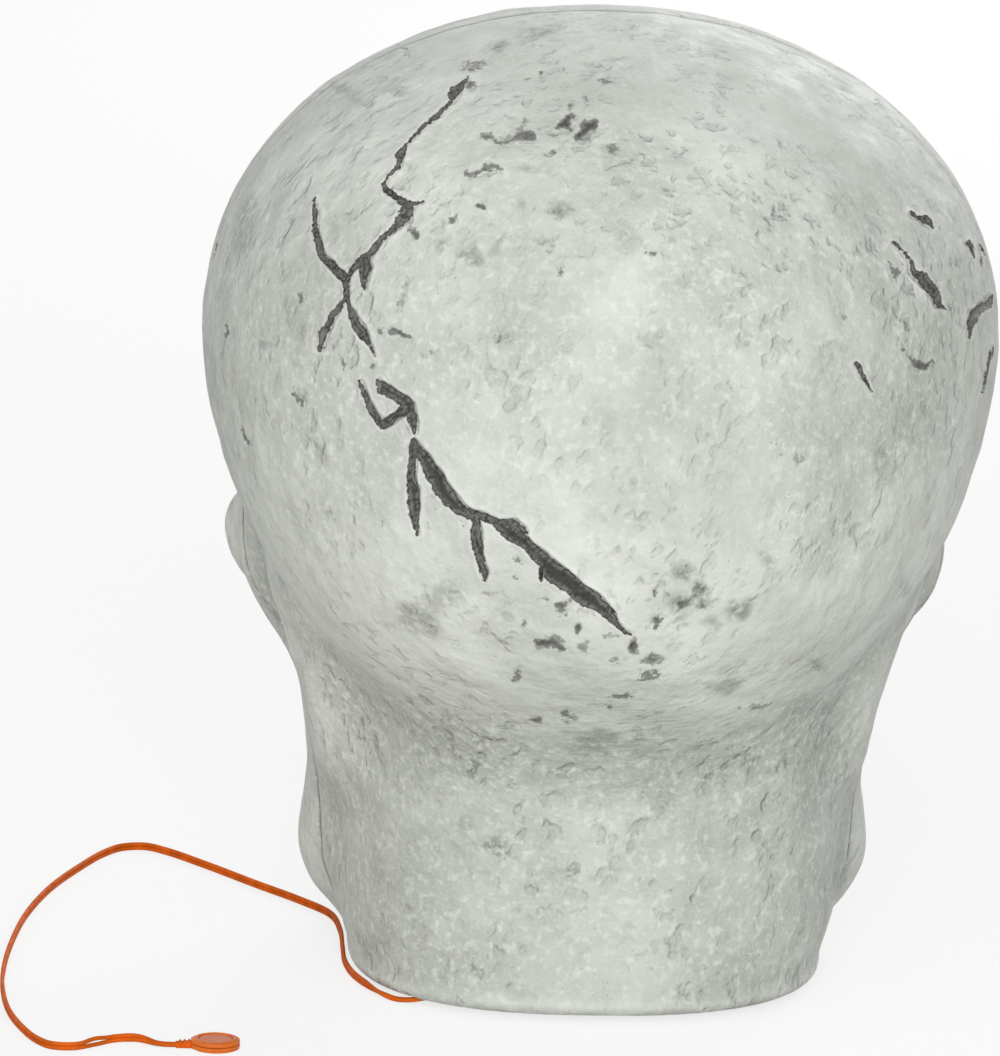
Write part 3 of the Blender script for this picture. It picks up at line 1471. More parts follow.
@dataclass(frozen=True)
class Damage:
    """Every crack, pit and stain of the shells, by its place in a view."""

    cracks: tuple[Stroke, ...] = (
        *strokes(View.PHOTO,
            ((468, 77, 2), (456, 91, 11), (450, 101, 4), (436, 115, 4), (425, 124, 3), (414, 135, 4),
             (406, 145, 3), (402, 153, 9), (397, 166, 6), (390, 175, 4), (383, 185, 3)),
            ((383, 186, 5), (384, 190, 6), (397, 198, 6), (409, 205, 9), (405, 215, 12), (397, 225, 7),
             (383, 239, 5), (372, 252, 7), (364, 260, 10), (353, 269, 5), (347, 277, 4)),
            ((409, 204, 5), (425, 200, 1.5)),
            ((364, 259, 8), (366, 267, 12), (365, 281, 8), (365, 290, 1.5)),
            ((314, 198, 2.5), (315, 217, 5), (317, 239, 6), (322, 256, 8), (333, 268, 9), (345, 277, 10),
             (346, 287, 6), (346, 297, 7)), ((344, 298, 4), (332, 314, 7), (324, 332, 8), (320, 349, 4)),
            ((346, 298, 6), (349, 307, 4), (354, 318, 9), (361, 333, 11), (368, 346, 4), (374, 357, 1)),
            ((359, 380, 4), (365, 397, 6), (374, 416, 8), (382, 425, 9), (394, 419, 8), (403, 412, 10)),
            ((378, 380, 4), (383, 389, 12), (397, 397, 12), (408, 405, 13), (412, 419, 10), (415, 433, 4)),
            ((413, 442, 6), (412, 460, 8), (411, 476, 9), (412, 494, 12), (414, 507, 11), (414, 522, 7),
             (417, 535, 3)),
            ((413, 442, 6), (418, 451, 10), (426, 460, 12), (433, 473, 17), (441, 486, 17), (450, 499, 15),
             (460, 510, 12), (468, 514, 10), (480, 516, 8), (492, 521, 9), (501, 527, 12), (512, 534, 15),
             (524, 542, 13), (533, 551, 13), (544, 562, 14), (555, 573, 18), (568, 583, 19), (581, 593, 19),
             (594, 602, 16), (605, 610, 12), (614, 620, 9), (622, 628, 5), (630, 634, 1)),
            ((500, 520, 2), (512, 524, 8), (522, 529, 8), (528, 533, 1)),
            ((546, 562, 9), (543, 570, 7), (541, 579, 4)),
            ((474, 518, 7), (476, 532, 10), (477, 548, 11), (480, 562, 9), (484, 573, 6), (484, 582, 1.5)),
            ((912, 214, 5), (917, 217, 3), (925, 219, 8), (929, 223, 7), (933, 230, 1.5)),
            ((895, 242, 4), (902, 251, 2), (910, 260, 3), (913, 272, 5), (923, 277, 12), (930, 287, 13),
             (937, 297, 10), (941, 307, 6), (947, 310, 1)),
            ((967, 242, 5), (971, 249, 5), (975, 257, 1.5)),
            ((980, 245, 3), (983, 251, 3.5), (987, 258, 1)),
            ((992, 296, 4), (987, 304, 8), (980, 309, 8), (974, 313, 9), (972, 325, 7), (970, 339, 1.5)),
            ((992, 347, 2.5), (990, 360, 3.5), (987, 372, 2), (982, 392, 2.5)),
            ((856, 365, 5), (863, 375, 3.5), (872, 392, 1.5))),
        *strokes(View.FRONT,
            ((-64, 452, 2), (-58, 444, 3), (-55, 436, 6), (-60, 420, 3), (-48, 404, 5), (-36, 392, 8),
             (-38, 374, 4), (-26, 360, 5), (-22, 344, 1)), ((-36, 392, 6), (-18, 396, 4), (-4, 388, 1)),
            ((-48, 404, 5), (-66, 396, 4), (-80, 380, 1)),
            ((92, 404, 1), (84, 384, 6), (90, 366, 4), (80, 350, 5), (84, 334, 1)),
            ((-62, 214, 1), (-56, 204, 4), (-60, 190, 3), (-52, 178, 1)),
            ((20, 60, 1), (26, 50, 4), (22, 40, 3), (30, 28, 1))),
        *strokes(View.LEFT,
            ((-70, 440, 1), (-58, 420, 6), (-64, 398, 4), (-44, 376, 9), (-30, 356, 7), (-34, 336, 3),
             (-20, 318, 1)), ((-44, 376, 7), (-66, 362, 5), (-84, 366, 1)),
            ((60, 300, 1), (48, 290, 5), (40, 270, 7), (46, 254, 3), (36, 240, 1))),
        *strokes(View.RIGHT,
            ((-20, 410, 1), (-32, 390, 5), (-26, 372, 7), (-44, 350, 9), (-62, 340, 5), (-80, 344, 1)),
            ((-44, 350, 6), (-42, 330, 5), (-54, 312, 1))),
    )
    pits: tuple[Stroke | Spot, ...] = (
        *strokes(View.PHOTO,
            ((553, 128, 3), (560, 125, 10), (568, 121, 15)), ((583, 134, 12), (590, 126, 14)),
            ((488, 139, 4), (510, 141, 5), (530, 138, 8)), ((468, 176, 6), (480, 172, 8), (499, 169, 5)),
            ((535, 639, 6), (548, 643, 9), (560, 646, 10)), ((641, 676, 5), (651, 673, 6), (661, 676, 3)),
            ((295, 386, 3), (299, 396, 5), (303, 404, 7)),
            ((884, 258, 1), (892, 270, 3), (897, 275, 6), (900, 282, 2)),
            ((915, 359, 5), (924, 362, 9), (929, 364, 5)), ((391, 331, 4), (399, 334, 7), (406, 338, 5))),
        *spots(View.PHOTO,
            (569, 106, 6, 6), (584, 101, 5, 4), (471, 85, 12, 10), (526, 78, 9, 5), (541, 74, 9, 8),
            (607, 81, 16, 5, 1, 25), (473, 65, 27, 5, 1, 10), (481, 205, 11, 10), (414, 231, 8, 13),
            (450, 217, 8, 12), (562, 274, 8, 6), (651, 253, 9, 5), (380, 332, 7, 6), (371, 369, 7, 7),
            (304, 299, 5, 11), (340, 361, 4, 12), (435, 509, 4, 4), (462, 526, 3, 3),
            (520, 562, 8, 5, 1, -30), (518, 578, 4, 4), (545, 601, 7, 3), (562, 608, 15, 10),
            (573, 602, 6, 8), (578, 629, 12, 10), (524, 623, 5, 5), (632, 645, 9, 12), (658, 623, 12, 9),
            (658, 590, 8, 8), (679, 604, 9, 8), (516, 676, 12, 6), (622, 697, 24, 7, 1, 10),
            (607, 707, 9, 5), (533, 720, 14, 8), (567, 717, 12, 8), (907, 350, 8, 6), (941, 226, 4, 4),
            (952, 309, 3, 9), (955, 264, 3, 6), (406, 50, 6, 4), (752, 31, 6, 4), (812, 52, 6, 4)),
        *spots(View.FRONT,
            (30, 420, 14, 9, 1, 20), (48, 356, 7, 6), (-96, 340, 9, 6, 1, 30), (8, 344, 6, 6),
            (70, 196, 8, 6, 1, 10), (-30, 458, 10, 5, 1, 10)),
        *spots(View.LEFT,
            (30, 380, 12, 8, 1, 20), (90, 350, 8, 6), (-10, 300, 7, 9), (110, 300, 10, 5, 1, 30)),
        *spots(View.RIGHT, (30, 330, 9, 7), (-100, 380, 8, 6), (70, 390, 13, 6, 1, 15), (0, 290, 6, 8)),
    )
    stains: tuple[Spot, ...] = (
        *spots(View.PHOTO,
            (490, 136, 18, 14, 0.8), (508, 134, 44, 16, 0.6, 3), (527, 122, 10, 18, 0.7),
            (553, 153, 16, 13), (569, 159, 9, 5, 0.8), (562, 274, 20, 16, 0.7), (617, 314, 16, 12, 0.6),
            (428, 355, 16, 6, 0.9, -15), (399, 361, 6, 10, 0.7), (404, 428, 8, 10, 0.9),
            (471, 85, 14, 11, 0.8), (600, 229, 14, 10, 0.8), (626, 242, 26, 16, 0.25, -20),
            (613, 258, 6, 10, 0.9), (585, 260, 14, 7, 0.7), (465, 183, 7, 10, 0.9),
            (616, 573, 16, 46, 0.62, 8), (607, 634, 20, 14, 0.8), (588, 646, 16, 14, 0.7),
            (578, 629, 15, 12, 0.8), (546, 643, 34, 14, 0.7, 10), (679, 602, 20, 15, 0.7),
            (659, 590, 11, 10, 0.8), (658, 623, 14, 10), (703, 589, 11, 15, 0.7), (701, 606, 9, 13, 0.7),
            (633, 645, 11, 16), (611, 660, 18, 8, 0.9, 10), (655, 659, 28, 7, 0.8, 6),
            (569, 668, 32, 10, 0.8, 14), (625, 697, 40, 12, 0.8, 10), (533, 720, 20, 14, 0.9),
            (569, 718, 20, 11, 0.8), (641, 716, 18, 6, 0.6), (760, 704, 34, 6, 1, 16),
            (740, 708, 14, 4, 0.9, 10), (852, 315, 12, 20, 0.9, -30), (860, 297, 8, 8, 0.7),
            (928, 272, 12, 12, 0.7), (922, 361, 18, 9, 0.8, 10), (609, 149, 15, 8, 0.8),
            (874, 378, 14, 15, 0.5)),
        *spots(View.FRONT, (-40, 216, 30, 14, 0.5)),
    )
    smudges: tuple[Spot, ...] = (
        *spots(View.PHOTO,
            (561, 208, 26, 13, 0.8), (522, 206, 8, 18, 0.7, -20), (469, 255, 34, 18, 0.8),
            (441, 245, 9, 20, 0.8, -30), (497, 245, 13, 26, 0.7, -30), (533, 308, 26, 7, 0.7),
            (504, 339, 28, 15, 1, 8), (541, 361, 14, 13, 0.6), (411, 168, 10, 15, 0.7),
            (530, 171, 28, 6, 0.9, -10), (628, 240, 34, 24, 0.4, -20), (605, 150, 18, 9, 0.8),
            (627, 128, 12, 7, 0.6), (265, 344, 12, 20, 0.8, 20), (342, 449, 10, 16, 0.6),
            (344, 90, 50, 10, 0.7, -30), (397, 91, 30, 12, 0.6), (275, 195, 10, 20, 0.5),
            (683, 573, 18, 24, 0.9, -20), (679, 602, 24, 17, 0.9), (703, 596, 16, 28, 0.8),
            (741, 611, 26, 20, 0.9, 20), (711, 622, 20, 12, 0.7), (765, 560, 16, 14, 0.6),
            (596, 741, 50, 24, 0.7, 10), (636, 738, 16, 20, 0.7, -20), (726, 686, 30, 14, 0.7, 10),
            (800, 708, 60, 30, 0.6, 20), (818, 668, 20, 10, 0.8, -40), (905, 590, 12, 26, 0.6, 30),
            (497, 846, 30, 22, 0.9), (468, 820, 22, 16, 0.7), (538, 33, 40, 10, 0.6, 14), (499, 46, 12, 8),
            (620, 60, 26, 7, 0.5), (613, 740, 130, 40, 0.1, 8), (420, 620, 50, 30, 0.6, -30),
            (440, 600, 26, 60, 0.5, -40), (664, 800, 40, 24, 0.6, 20), (545, 920, 60, 30, 0.35),
            (880, 460, 20, 50, 0.6, 10), (920, 404, 9, 28, 0.9, 5), (830, 480, 60, 40, 0.35),
            (404, 215, 50, 40, 0.3), (562, 130, 60, 36, 0.3), (350, 780, 110, 260, 0.22),
            (835, 740, 120, 260, 0.24), (950, 420, 70, 240, 0.2, 10), (280, 360, 60, 200, 0.2, 8),
            (560, 120, 260, 110, 0.14)),
        *spots(View.FRONT, (0, 300, 120, 60, 0.3), (50, 430, 60, 40, 0.5), (-60, 80, 60, 40, 0.6)),
        *spots(View.LEFT, (-20, 260, 60, 50, 0.6), (70, 400, 50, 30, 0.6, 20)),
        *spots(View.RIGHT, (-20, 260, 60, 50, 0.6), (60, 380, 60, 50, 0.4)),
    )
    facing: float = 0.06
    fade: float = 0.22
    fade_by: float = 9
    warp_cells: Pair = (7, 2.2)
    crack_warp: Pair = (1.1, 0.45)
    spot_warp: Pair = (2.6, 1.3)
    apart: float = 40
    far: float = -30
    margin: float = 9
    soft_share: float = 0.22

    def found(self, marks: Sequence[Stroke | Spot], surface: Surface
              ) -> Iterable[tuple[Stroke | Spot, Array, Array]]:
        """Finds which places lie in or near each mark.

        Args:
            marks: The marks.
            surface: The places.

        Yields:
            A mark, the numbers of the places near it, and how far inside it they lie.
        """
        wide, fine = (LatticeNoise(cell, SEED + i) for i, cell in enumerate(self.warp_cells))
        wide_warp, fine_warp = self.crack_warp if marks is self.cracks else self.spot_warp
        for view in View:
            here = [mark for mark in marks if mark.view is view]
            if not here:
                continue
            flat, facing = view.flatten(surface)
            shown = np.nonzero(facing > self.facing)[0]
            flat, facing = flat[shown], facing[shown]
            for mark in here:
                low, high = mark.limits()
                margin = self.margin * view.scale + self.soft_share * float(min(high - low))
                close = np.all((flat > low - margin) & (flat < high + margin), axis=1)
                numbers = shown[close]
                if not len(numbers):
                    continue
                places = surface.points[numbers]
                moved = np.stack([wide.at(places + shift) * wide_warp
                                  + fine.at(places + shift) * fine_warp
                                  for shift in (0, self.apart)], axis=1)
                inside = mark.reach(flat[close] + moved * view.scale)
                lost = self.fade - np.minimum(facing[close], self.fade)
                yield mark, numbers, inside - lost * self.fade_by

    def reach(self, marks: Sequence[Stroke | Spot], surface: Surface) -> Array:
        """How far inside the nearest of some marks each place lies.

        Args:
            marks: The marks.
            surface: The places.

        Returns:
            The distance to the mark's edge, above zero inside it.
        """
        best = np.full(len(surface.points), float(self.far))
        for _, numbers, inside in self.found(marks, surface):
            best[numbers] = np.maximum(best[numbers], inside)
        return best

    def shade(self, spots: Sequence[Spot], surface: Surface, soft: float) -> Array:
        """How strongly soft spots cover each place.

        Args:
            spots: The spots.
            surface: The places.
            soft: How far a spot's edge fades at least, in millimetres.

        Returns:
            Values from zero to one.
        """
        best = np.zeros(len(surface.points))
        for spot, numbers, inside in self.found(spots, surface):
            edge = max(soft, self.soft_share * min(spot.width, spot.height) / spot.view.scale)
            cover = smooth_step(-edge, edge, inside) * spot.strength
            best[numbers] = np.maximum(best[numbers], cover)
        return best


@dataclass
class SkullShells:
    """The two hollow shells of the skull, with their cracks, pits, seam and foot."""

    form: SkullForm
    camera: PhotoCamera
    damage: Damage = field(default_factory=Damage)
    step: float = 3
    wall: float = 5
    inner_stride: int = 2
    flange_top: float = 11
    size: float = 600
    sharp_deg: float = 50
    half_slit: float = 0.15
    seam_loops: tuple[float, ...] = (0.15, 0.9, 1.8, 3.4)
    seam_steps: float = 4
    seam_join: float = 0.02
    seam_depth: float = 2.0
    seam_reach: float = 1.5
    seam_dark: Pair = (2.3, 0.8)
    last_move: float = 0.6
    bumps: tuple[Pair, ...] = ((55, 1), (26, 0.9), (13, 0.7), (7, 0.35))
    calm_teeth: Pair = (4, 0.5)
    tooth_calm: float = 0.8
    calm_foot: Pair = (15, 6)
    rough: LatticeNoise = LatticeNoise(3, SEED + 9)
    rough_share: float = 0.25
    crack_depth: float = 2.6
    crack_edge: Pair = (-0.5, 1.6)
    lip_height: float = 0.5
    lip_rise: Pair = (-3.2, -0.9)
    lip_fall: Pair = (0, -0.6)
    pit_depth: float = 1.7
    pit_edge: Pair = (-0.4, 1.8)
    pocks: PitNoise = PitNoise(31, (1, 2.6), 0.4, SEED)
    pock_depth: float = 0.8
    pock_edge: Pair = (-0.3, 1.2)
    near_cracks: tuple[float, ...] = (3.2, 1.92)
    near_pit: float = 1.6
    near_teeth: float = 3
    near_orbit: float = 2.5
    near_nose: float = 4
    opening: Triple = (61, 71, 26)
    plate: Triple = (70.3, 80.3, 35.3)
    plate_top: float = 7.3
    clear: float = 2
    opening_clear: float = 4
    lead_hole: float = 4.8
    lead_groove: Triple = (75, 3, 6.6)
    boss_radius: float = 4.2
    boss_top: float = 20
    bore_radius: float = 1.75
    bore_top: float = 16
    pad_fit: float = 0.3
    lens_bore: float = 15.8
    lens_clear: float = 3
    eye_boss: Pair = (26, 12)
    board_room: Pair = (20.3, 60)
    outer_share: float = 0.9
    cavity_reach: float = 8
    cavity_edge: Pair = (7.2, 2)
    streak_from: Pair = (560, 760)
    streak_weaker: Pair = (770, 880)
    streak_loss: float = 0.65
    streak_facing: Pair = (0.05, 0.3)
    stain_soft: float = 2
    grime_soft: float = 3

    def surface(self, points: Array) -> Surface:
        """Places on the shell with their outward directions."""
        return Surface(points, self.form.normals(points), self.camera)

    def mesh(self) -> tuple[Array, list[list[int]]]:
        """The skull's outer surface, finest where it is marked.

        Returns:
            The points in millimetres, and the faces.
        """
        net = SurfaceNet(self.form, self.step)
        net.sample()
        points, quads = net.mesh()
        self.inner = net.mesh(self.wall, self.inner_stride, self.flange_top)
        points = self.form.settle(points)
        bm = bmesh.new()
        mesh = bpy.data.meshes.new("surface")
        mesh.from_pydata(points.tolist(), [], quads.tolist())
        bm.from_mesh(mesh)
        wide = self.seam_steps * self.step
        for y in self.seam_loops:
            for side in (-1, 1):
                near = [f for f in bm.faces if abs(f.calc_center_median().y) < wide]
                parts = {e for f in near for e in f.edges} | {v for f in near for v in f.verts}
                bmesh.ops.bisect_plane(bm, geom=[*near, *parts], dist=self.seam_join,
                                       plane_co=(0, side * y, 0), plane_no=(0, 1, 0))
        for level, reach in enumerate(self.near_cracks):
            self.refine(bm, reach, level)
        bm.to_mesh(mesh)
        bm.free()
        points = np.empty(len(mesh.vertices) * 3)
        mesh.vertices.foreach_get("co", points)
        faces = [list(f.vertices) for f in mesh.polygons]
        bpy.data.meshes.remove(mesh)
        return self.form.settle(points.reshape(-1, 3), 1, self.last_move), faces

    def refine(self, bm: bmesh.types.BMesh, reach: float, level: int) -> None:
        """Halves the faces near cracks and pits, and once near the teeth and sockets.

        Args:
            bm: The surface.
            reach: How far round a crack faces are halved.
            level: How often they were halved before.
        """
        points = np.array([v.co for v in bm.verts])
        surface, marks = self.surface(points), self.damage
        near = marks.reach(marks.cracks, surface) > -reach
        near |= marks.reach(marks.pits, surface) > -self.near_pit
        if level == 0:
            half = mirrored(points)
            rim = np.abs(self.form.orbit_gap(half)) + np.abs(self.form.gap(*points.T))
            near |= self.form.teeth_gap(half) < self.near_teeth
            near |= rim < self.near_orbit
            near |= np.abs(self.form.nose_gap(half)) < self.near_nose
        bm.verts.index_update()
        faces = [f for f in bm.faces if any(near[v.index] for v in f.verts)]
        edges = list({e for f in faces for e in f.edges})
        bmesh.ops.subdivide_edges(bm, edges=edges, cuts=1, use_grid_fill=True)

    def carve(self, points: Array) -> Array:
        """Moves the surface's points by its bumps, cracks, pits and the seam's edge.

        Args:
            points: Places on the form, in millimetres.

        Returns:
            The moved places.
        """
        surface, marks = self.surface(points), self.damage
        depth = sum(high * (1 - LatticeNoise(cell, SEED + i).at(points)) / 2
                    for i, (cell, high) in enumerate(self.bumps))
        teeth = smooth_step(*self.calm_teeth, self.form.teeth_gap(mirrored(points)))
        foot = smooth_step(*self.calm_foot, points[:, 2])
        depth *= 1 - np.maximum(teeth * self.tooth_calm, foot)
        rough = 1 - self.rough_share + self.rough_share * self.rough.at(points)
        crack, pit = marks.reach(marks.cracks, surface), marks.reach(marks.pits, surface)
        depth += self.crack_depth * smooth_step(*self.crack_edge, crack) * rough
        depth -= (self.lip_height * smooth_step(*self.lip_rise, crack)
                  * smooth_step(*self.lip_fall, crack))
        depth += self.pit_depth * smooth_step(*self.pit_edge, pit) * rough
        pocks = smooth_step(*self.pock_edge, self.pocks.at(points))
        depth += self.pock_depth * pocks * (1 - foot) * (1 - teeth)
        slit = np.maximum(np.abs(points[:, 1]) - self.half_slit, 0)
        depth += self.seam_depth * np.exp(-slit / self.seam_reach) * (1 - foot)
        return points - surface.normals * depth[:, None]

    def open_foot(self, shell: Piece) -> None:
        """Cuts the seat of the base plate, the lead's hole and groove, and the pads' sockets.

        Args:
            shell: The hollow skull.
        """
        below = self.form.foot_gap - self.clear
        cut(shell, plate_tool(*self.opening, below, self.flange_top + self.opening_clear))
        cut(shell, plate_tool(*self.plate, below, self.plate_top))
        low, high, _ = solid_box("lead_grommet")
        x, y = ((a + b) / 2 for a, b in zip(low.xy, high.xy))
        half = self.lead_hole
        length, wide, top = self.lead_groove
        cut(shell, box_tool((x - half, y - half, below),
                            (x + half, y + half, self.flange_top + self.clear)))
        cut(shell, box_tool((x, y - wide, below), (x + length, y + wide, top)))
        for pad in PADS:
            low, high, middle = solid_box(pad)
            cut(shell, post_tool(middle.x, middle.y, (high.x - low.x) / 2 + self.pad_fit,
                                 below, high.z + self.pad_fit))

    def fit_eyes(self, shell: Piece) -> None:
        """Adds the boss behind each eye and bores it for the lens and the light board.

        Args:
            shell: The hollow skull.
        """
        x, _, z = self.form.place(self.form.orbit.centre)
        seat = self.form.seat_y
        radius, depth = self.eye_boss
        room_radius, room = self.board_room
        back = seat + depth
        for across in (-x, x):
            cut(shell, level_tool(across, z, radius, seat, back), "UNION")
            cut(shell, level_tool(across, z, self.lens_bore, seat - self.lens_clear,
                                  back + self.clear))
            cut(shell, level_tool(across, z, room_radius, back, back + room))

    def add_bosses(self, shell: Piece, end: int) -> None:
        """Adds the posts that the base screws go into.

        Args:
            shell: One of the two shells.
            end: Its side of the seam, -1 or 1.
        """
        for screw in SCREWS:
            _, _, (x, y, _) = solid_box(screw)
            if y * end > 0:
                cut(shell, post_tool(x, y, self.boss_radius, self.plate_top, self.boss_top),
                    "UNION")
                cut(shell, post_tool(x, y, self.bore_radius, self.form.foot_gap, self.bore_top))

    def mark(self, shell: Piece) -> None:
        """Stores what the finish needs on the shell's points.

        Args:
            shell: One of the two shells.
        """
        mesh, marks = shell.data, self.damage
        flat = np.empty(len(mesh.vertices) * 3)
        mesh.vertices.foreach_get("co", flat)
        points = flat.reshape(-1, 3) / MM
        surface = self.surface(points)
        outer = self.form.gap(*points.T) > -self.wall + self.outer_share
        around = self.form.gap(*(points + surface.normals * self.cavity_reach).T)
        flat, facing = View.PHOTO.flatten(surface)
        streak = smooth_step(*self.streak_from, flat[:, 1])
        streak *= smooth_step(*self.streak_facing, facing)
        streak *= 1 - self.streak_loss * smooth_step(*self.streak_weaker, flat[:, 1])
        values = {
            "crack": np.where(outer, marks.reach(marks.cracks, surface), marks.far),
            "pit": np.where(outer, marks.reach(marks.pits, surface), marks.far),
            "stain": marks.shade(marks.stains, surface, self.stain_soft),
            "grime": np.maximum(marks.shade(marks.smudges, surface, self.grime_soft),
                                smooth_step(*self.cavity_edge, around)),
            "seam": smooth_step(*self.seam_dark, np.abs(points[:, 1])) * outer,
            "streak": streak,
        }
        for name, value in values.items():
            layer = mesh.attributes.new(name, "FLOAT", "POINT")
            layer.data.foreach_set("value", value.astype(np.float32))

    def build(self) -> list[Piece]:
        """Makes both shells.

        Returns:
            The rear and the front shell.
        """
        points, faces = self.mesh()
        log.info("surface with %d points", len(points))
        whole = mesh_piece("whole", self.carve(points), faces)
        cut(whole, mesh_piece("tool", *self.inner))
        self.open_foot(whole)
        self.fit_eyes(whole)
        skins, size = [], self.size
        for name, node, end in (("rear_skin", "rear_shell", 1), ("front_skin", "front_shell", -1)):
            skin = whole.copy()
            skin.data = whole.data.copy()
            skin.name = skin.data.name = name
            bpy.context.scene.collection.objects.link(skin)
            near, far = sorted((end * self.half_slit, end * size))
            cut(skin, box_tool((-size, near, -size), (size, far, 2 * size)), "INTERSECT")
            skin.data.name = name
            self.add_bosses(skin, end)
            self.mark(skin)
            shade_smooth(skin, self.sharp_deg)
            log.info("%s with %d points", name, len(skin.data.vertices))
            skins.append(stand_in(skin, node, Finish.BONE))
        bpy.data.objects.remove(whole)
        return skins


@dataclass
class EyeLights:
    """The red lenses in the eye sockets; the boards and lights behind them stay as solids."""

    sides: int = 96
    flange: Pair = (21, 2)
    dome: Pair = (18, 11)
    dome_steps: int = 40
    inner_steps: int = 16
    wall: float = 2
    spigot: Pair = (15.5, 7)
    fit: float = 0.3
    middle: float = 0.4
    edge: float = 0.5
    foot: Pair = (0.3, 0.25)
    rings: int = 7
    ring_depth: float = 0.18
    sharp_deg: float = 40

    def profile(self) -> list[Pair]:
        """The lens from its middle outside, round its flange, to its middle inside.

        Returns:
            Pairs of radius and height above the seat.
        """
        (wide, thick), (dome, rise), (spigot, deep) = self.flange, self.dome, self.spigot
        top, bore, edge = self.fit + thick, spigot - self.wall, self.edge
        outside = []
        for share in np.arange(1, self.dome_steps) / self.dome_steps:
            turn = (1 - share) * math.pi / 2
            wave = self.ring_depth * (1 - math.cos(share * 2 * math.pi * self.rings)) / 2
            outside.append(((dome - wave) * math.cos(turn), top + (rise - wave) * math.sin(turn)))
        inside = [(bore * math.cos(turn), top + (rise - self.wall) * math.sin(turn))
                  for turn in np.linspace(0, math.pi / 2, self.inner_steps)[:-1]]
        return [(self.middle, top + rise), *outside, (dome, top + self.foot[1]),
                (dome + self.foot[0], top), (wide - edge, top), (wide, top - edge),
                (wide, self.fit + edge), (wide - edge, self.fit), (spigot, self.fit),
                (spigot, -deep + edge), (spigot - edge, -deep), (bore + edge, -deep),
                (bore, edge - deep), *inside, (self.middle, top + rise - self.wall)]

    def build(self) -> list[Piece]:
        """Makes both lenses.

        Returns:
            The left and the right lens.
        """
        lenses = []
        for side in ("left", "right"):
            _, high, middle = solid_box(f"eye_lens_{side}")
            rings = [circle(radius, height, self.sides) for radius, height in self.profile()]
            lens = loft(f"eye_cover_{side}", rings[::-1], self.sharp_deg)
            seat = Vector((middle.x, high.y - self.spigot[1], middle.z)) * MM
            place_piece(lens, Matrix.Translation(seat) @ Matrix.Rotation(math.pi / 2, 4, "X"))
            lenses.append(stand_in(lens, f"eye_lens_{side}", Finish.LENS))
        return lenses


@dataclass
class BaseParts:
    """The base plate with its door, and the smooth screws and pads that show below."""

    screw_sides: int = 40
    screw_tip: float = 0.3
    screw_sharp_deg: float = 40
    head: tuple[Pair, ...] = ((0.55, 0), (0.85, 0.18), (1, 0.55), (1, 1.2))
    shaft: float = 1.45
    thread_pitch: float = 0.5
    thread_depth: float = 0.22
    thread_from: float = 0.4
    thread_end: float = 1.5
    end_taper: Pair = (0.3, 0.8)
    recess: Triple = (0.75, 3.2, 0.8)
    clear: float = 1
    pad_sides: int = 72
    pad_sharp_deg: float = 50
    pad_grooves: tuple[Pair, ...] = (
        (0.4, 0), (2.6, 0), (2.8, 0.35), (3.4, 0.35), (3.6, 0), (5.8, 0), (6.0, 0.35),
        (6.6, 0.35), (6.8, 0))
    pad_foot: tuple[Pair, ...] = ((1, 0), (0.3, 0.3), (0, 1))
    pad_top: float = 0.4
    edge: float = 0.35
    edge_steps: int = 2
    edged: tuple[str, ...] = ("base_plate", "battery_door", "mode_switch_slider", "lead_grommet")

    def screw(self, node: str) -> Piece:
        """A screw with a low round head and a cross recess, head downwards.

        Args:
            node: The solid that it stands for.

        Returns:
            The screw.
        """
        low, high, middle = solid_box(node)
        head = (high.x - low.x) / 2
        seat = low.z + self.head[-1][1]
        profile = [(self.screw_tip, low.z), *((head * r, low.z + z) for r, z in self.head),
                   (self.shaft, seat)]
        for i in range(int((high.z - seat - self.thread_end) / self.thread_pitch)):
            z = seat + self.thread_from + i * self.thread_pitch
            profile += [(self.shaft - self.thread_depth, z),
                        (self.shaft, z + self.thread_pitch / 2)]
        taper, rise = self.end_taper
        profile += [(self.shaft - taper, high.z - rise), (self.screw_tip, high.z)]
        rings = [circle(radius, z, self.screw_sides) + (middle.x, middle.y, 0)
                 for radius, z in profile]
        piece = loft(f"{node}_cross", rings, self.screw_sharp_deg)
        wide, long, deep = self.recess
        for half_x, half_y in ((wide / 2, long / 2), (long / 2, wide / 2)):
            cut(piece, box_tool((middle.x - half_x, middle.y - half_y, low.z - self.clear),
                                (middle.x + half_x, middle.y + half_y, low.z + deep)))
        shade_smooth(piece, self.screw_sharp_deg)
        return stand_in(piece, node, Finish.STEEL)

    def pad(self, node: str) -> Piece:
        """A rubber foot with a rounded edge and grooves in its underside.

        Args:
            node: The solid that it stands for.

        Returns:
            The pad.
        """
        low, high, middle = solid_box(node)
        radius, top = (high.x - low.x) / 2, self.pad_top
        profile = [*self.pad_grooves, *((radius - inset, z) for inset, z in self.pad_foot),
                   (radius, high.z - top), (radius - top, high.z),
                   (self.pad_grooves[0][0], high.z)]
        rings = [circle(r, z, self.pad_sides) + (middle.x, middle.y, 0) for r, z in profile]
        piece = loft(f"{node}_rubber", rings, self.pad_sharp_deg)
        return stand_in(piece, node, Finish.RUBBER)

    def build(self, nodes: dict[str, Piece]) -> list[Piece]:
        """Makes the screws and pads and rounds the plate's and door's edges.

        Args:
            nodes: The solids of the frame by name.

        Returns:
            The new pieces.
        """
        for name in self.edged:
            step = nodes[name].modifiers.new("edge", "BEVEL")
            step.width = self.edge * MM
            step.segments = self.edge_steps
            step.limit_method = "ANGLE"
            step.harden_normals = True
        return [*map(self.screw, (*SCREWS, "battery_door_screw")), *map(self.pad, PADS)]


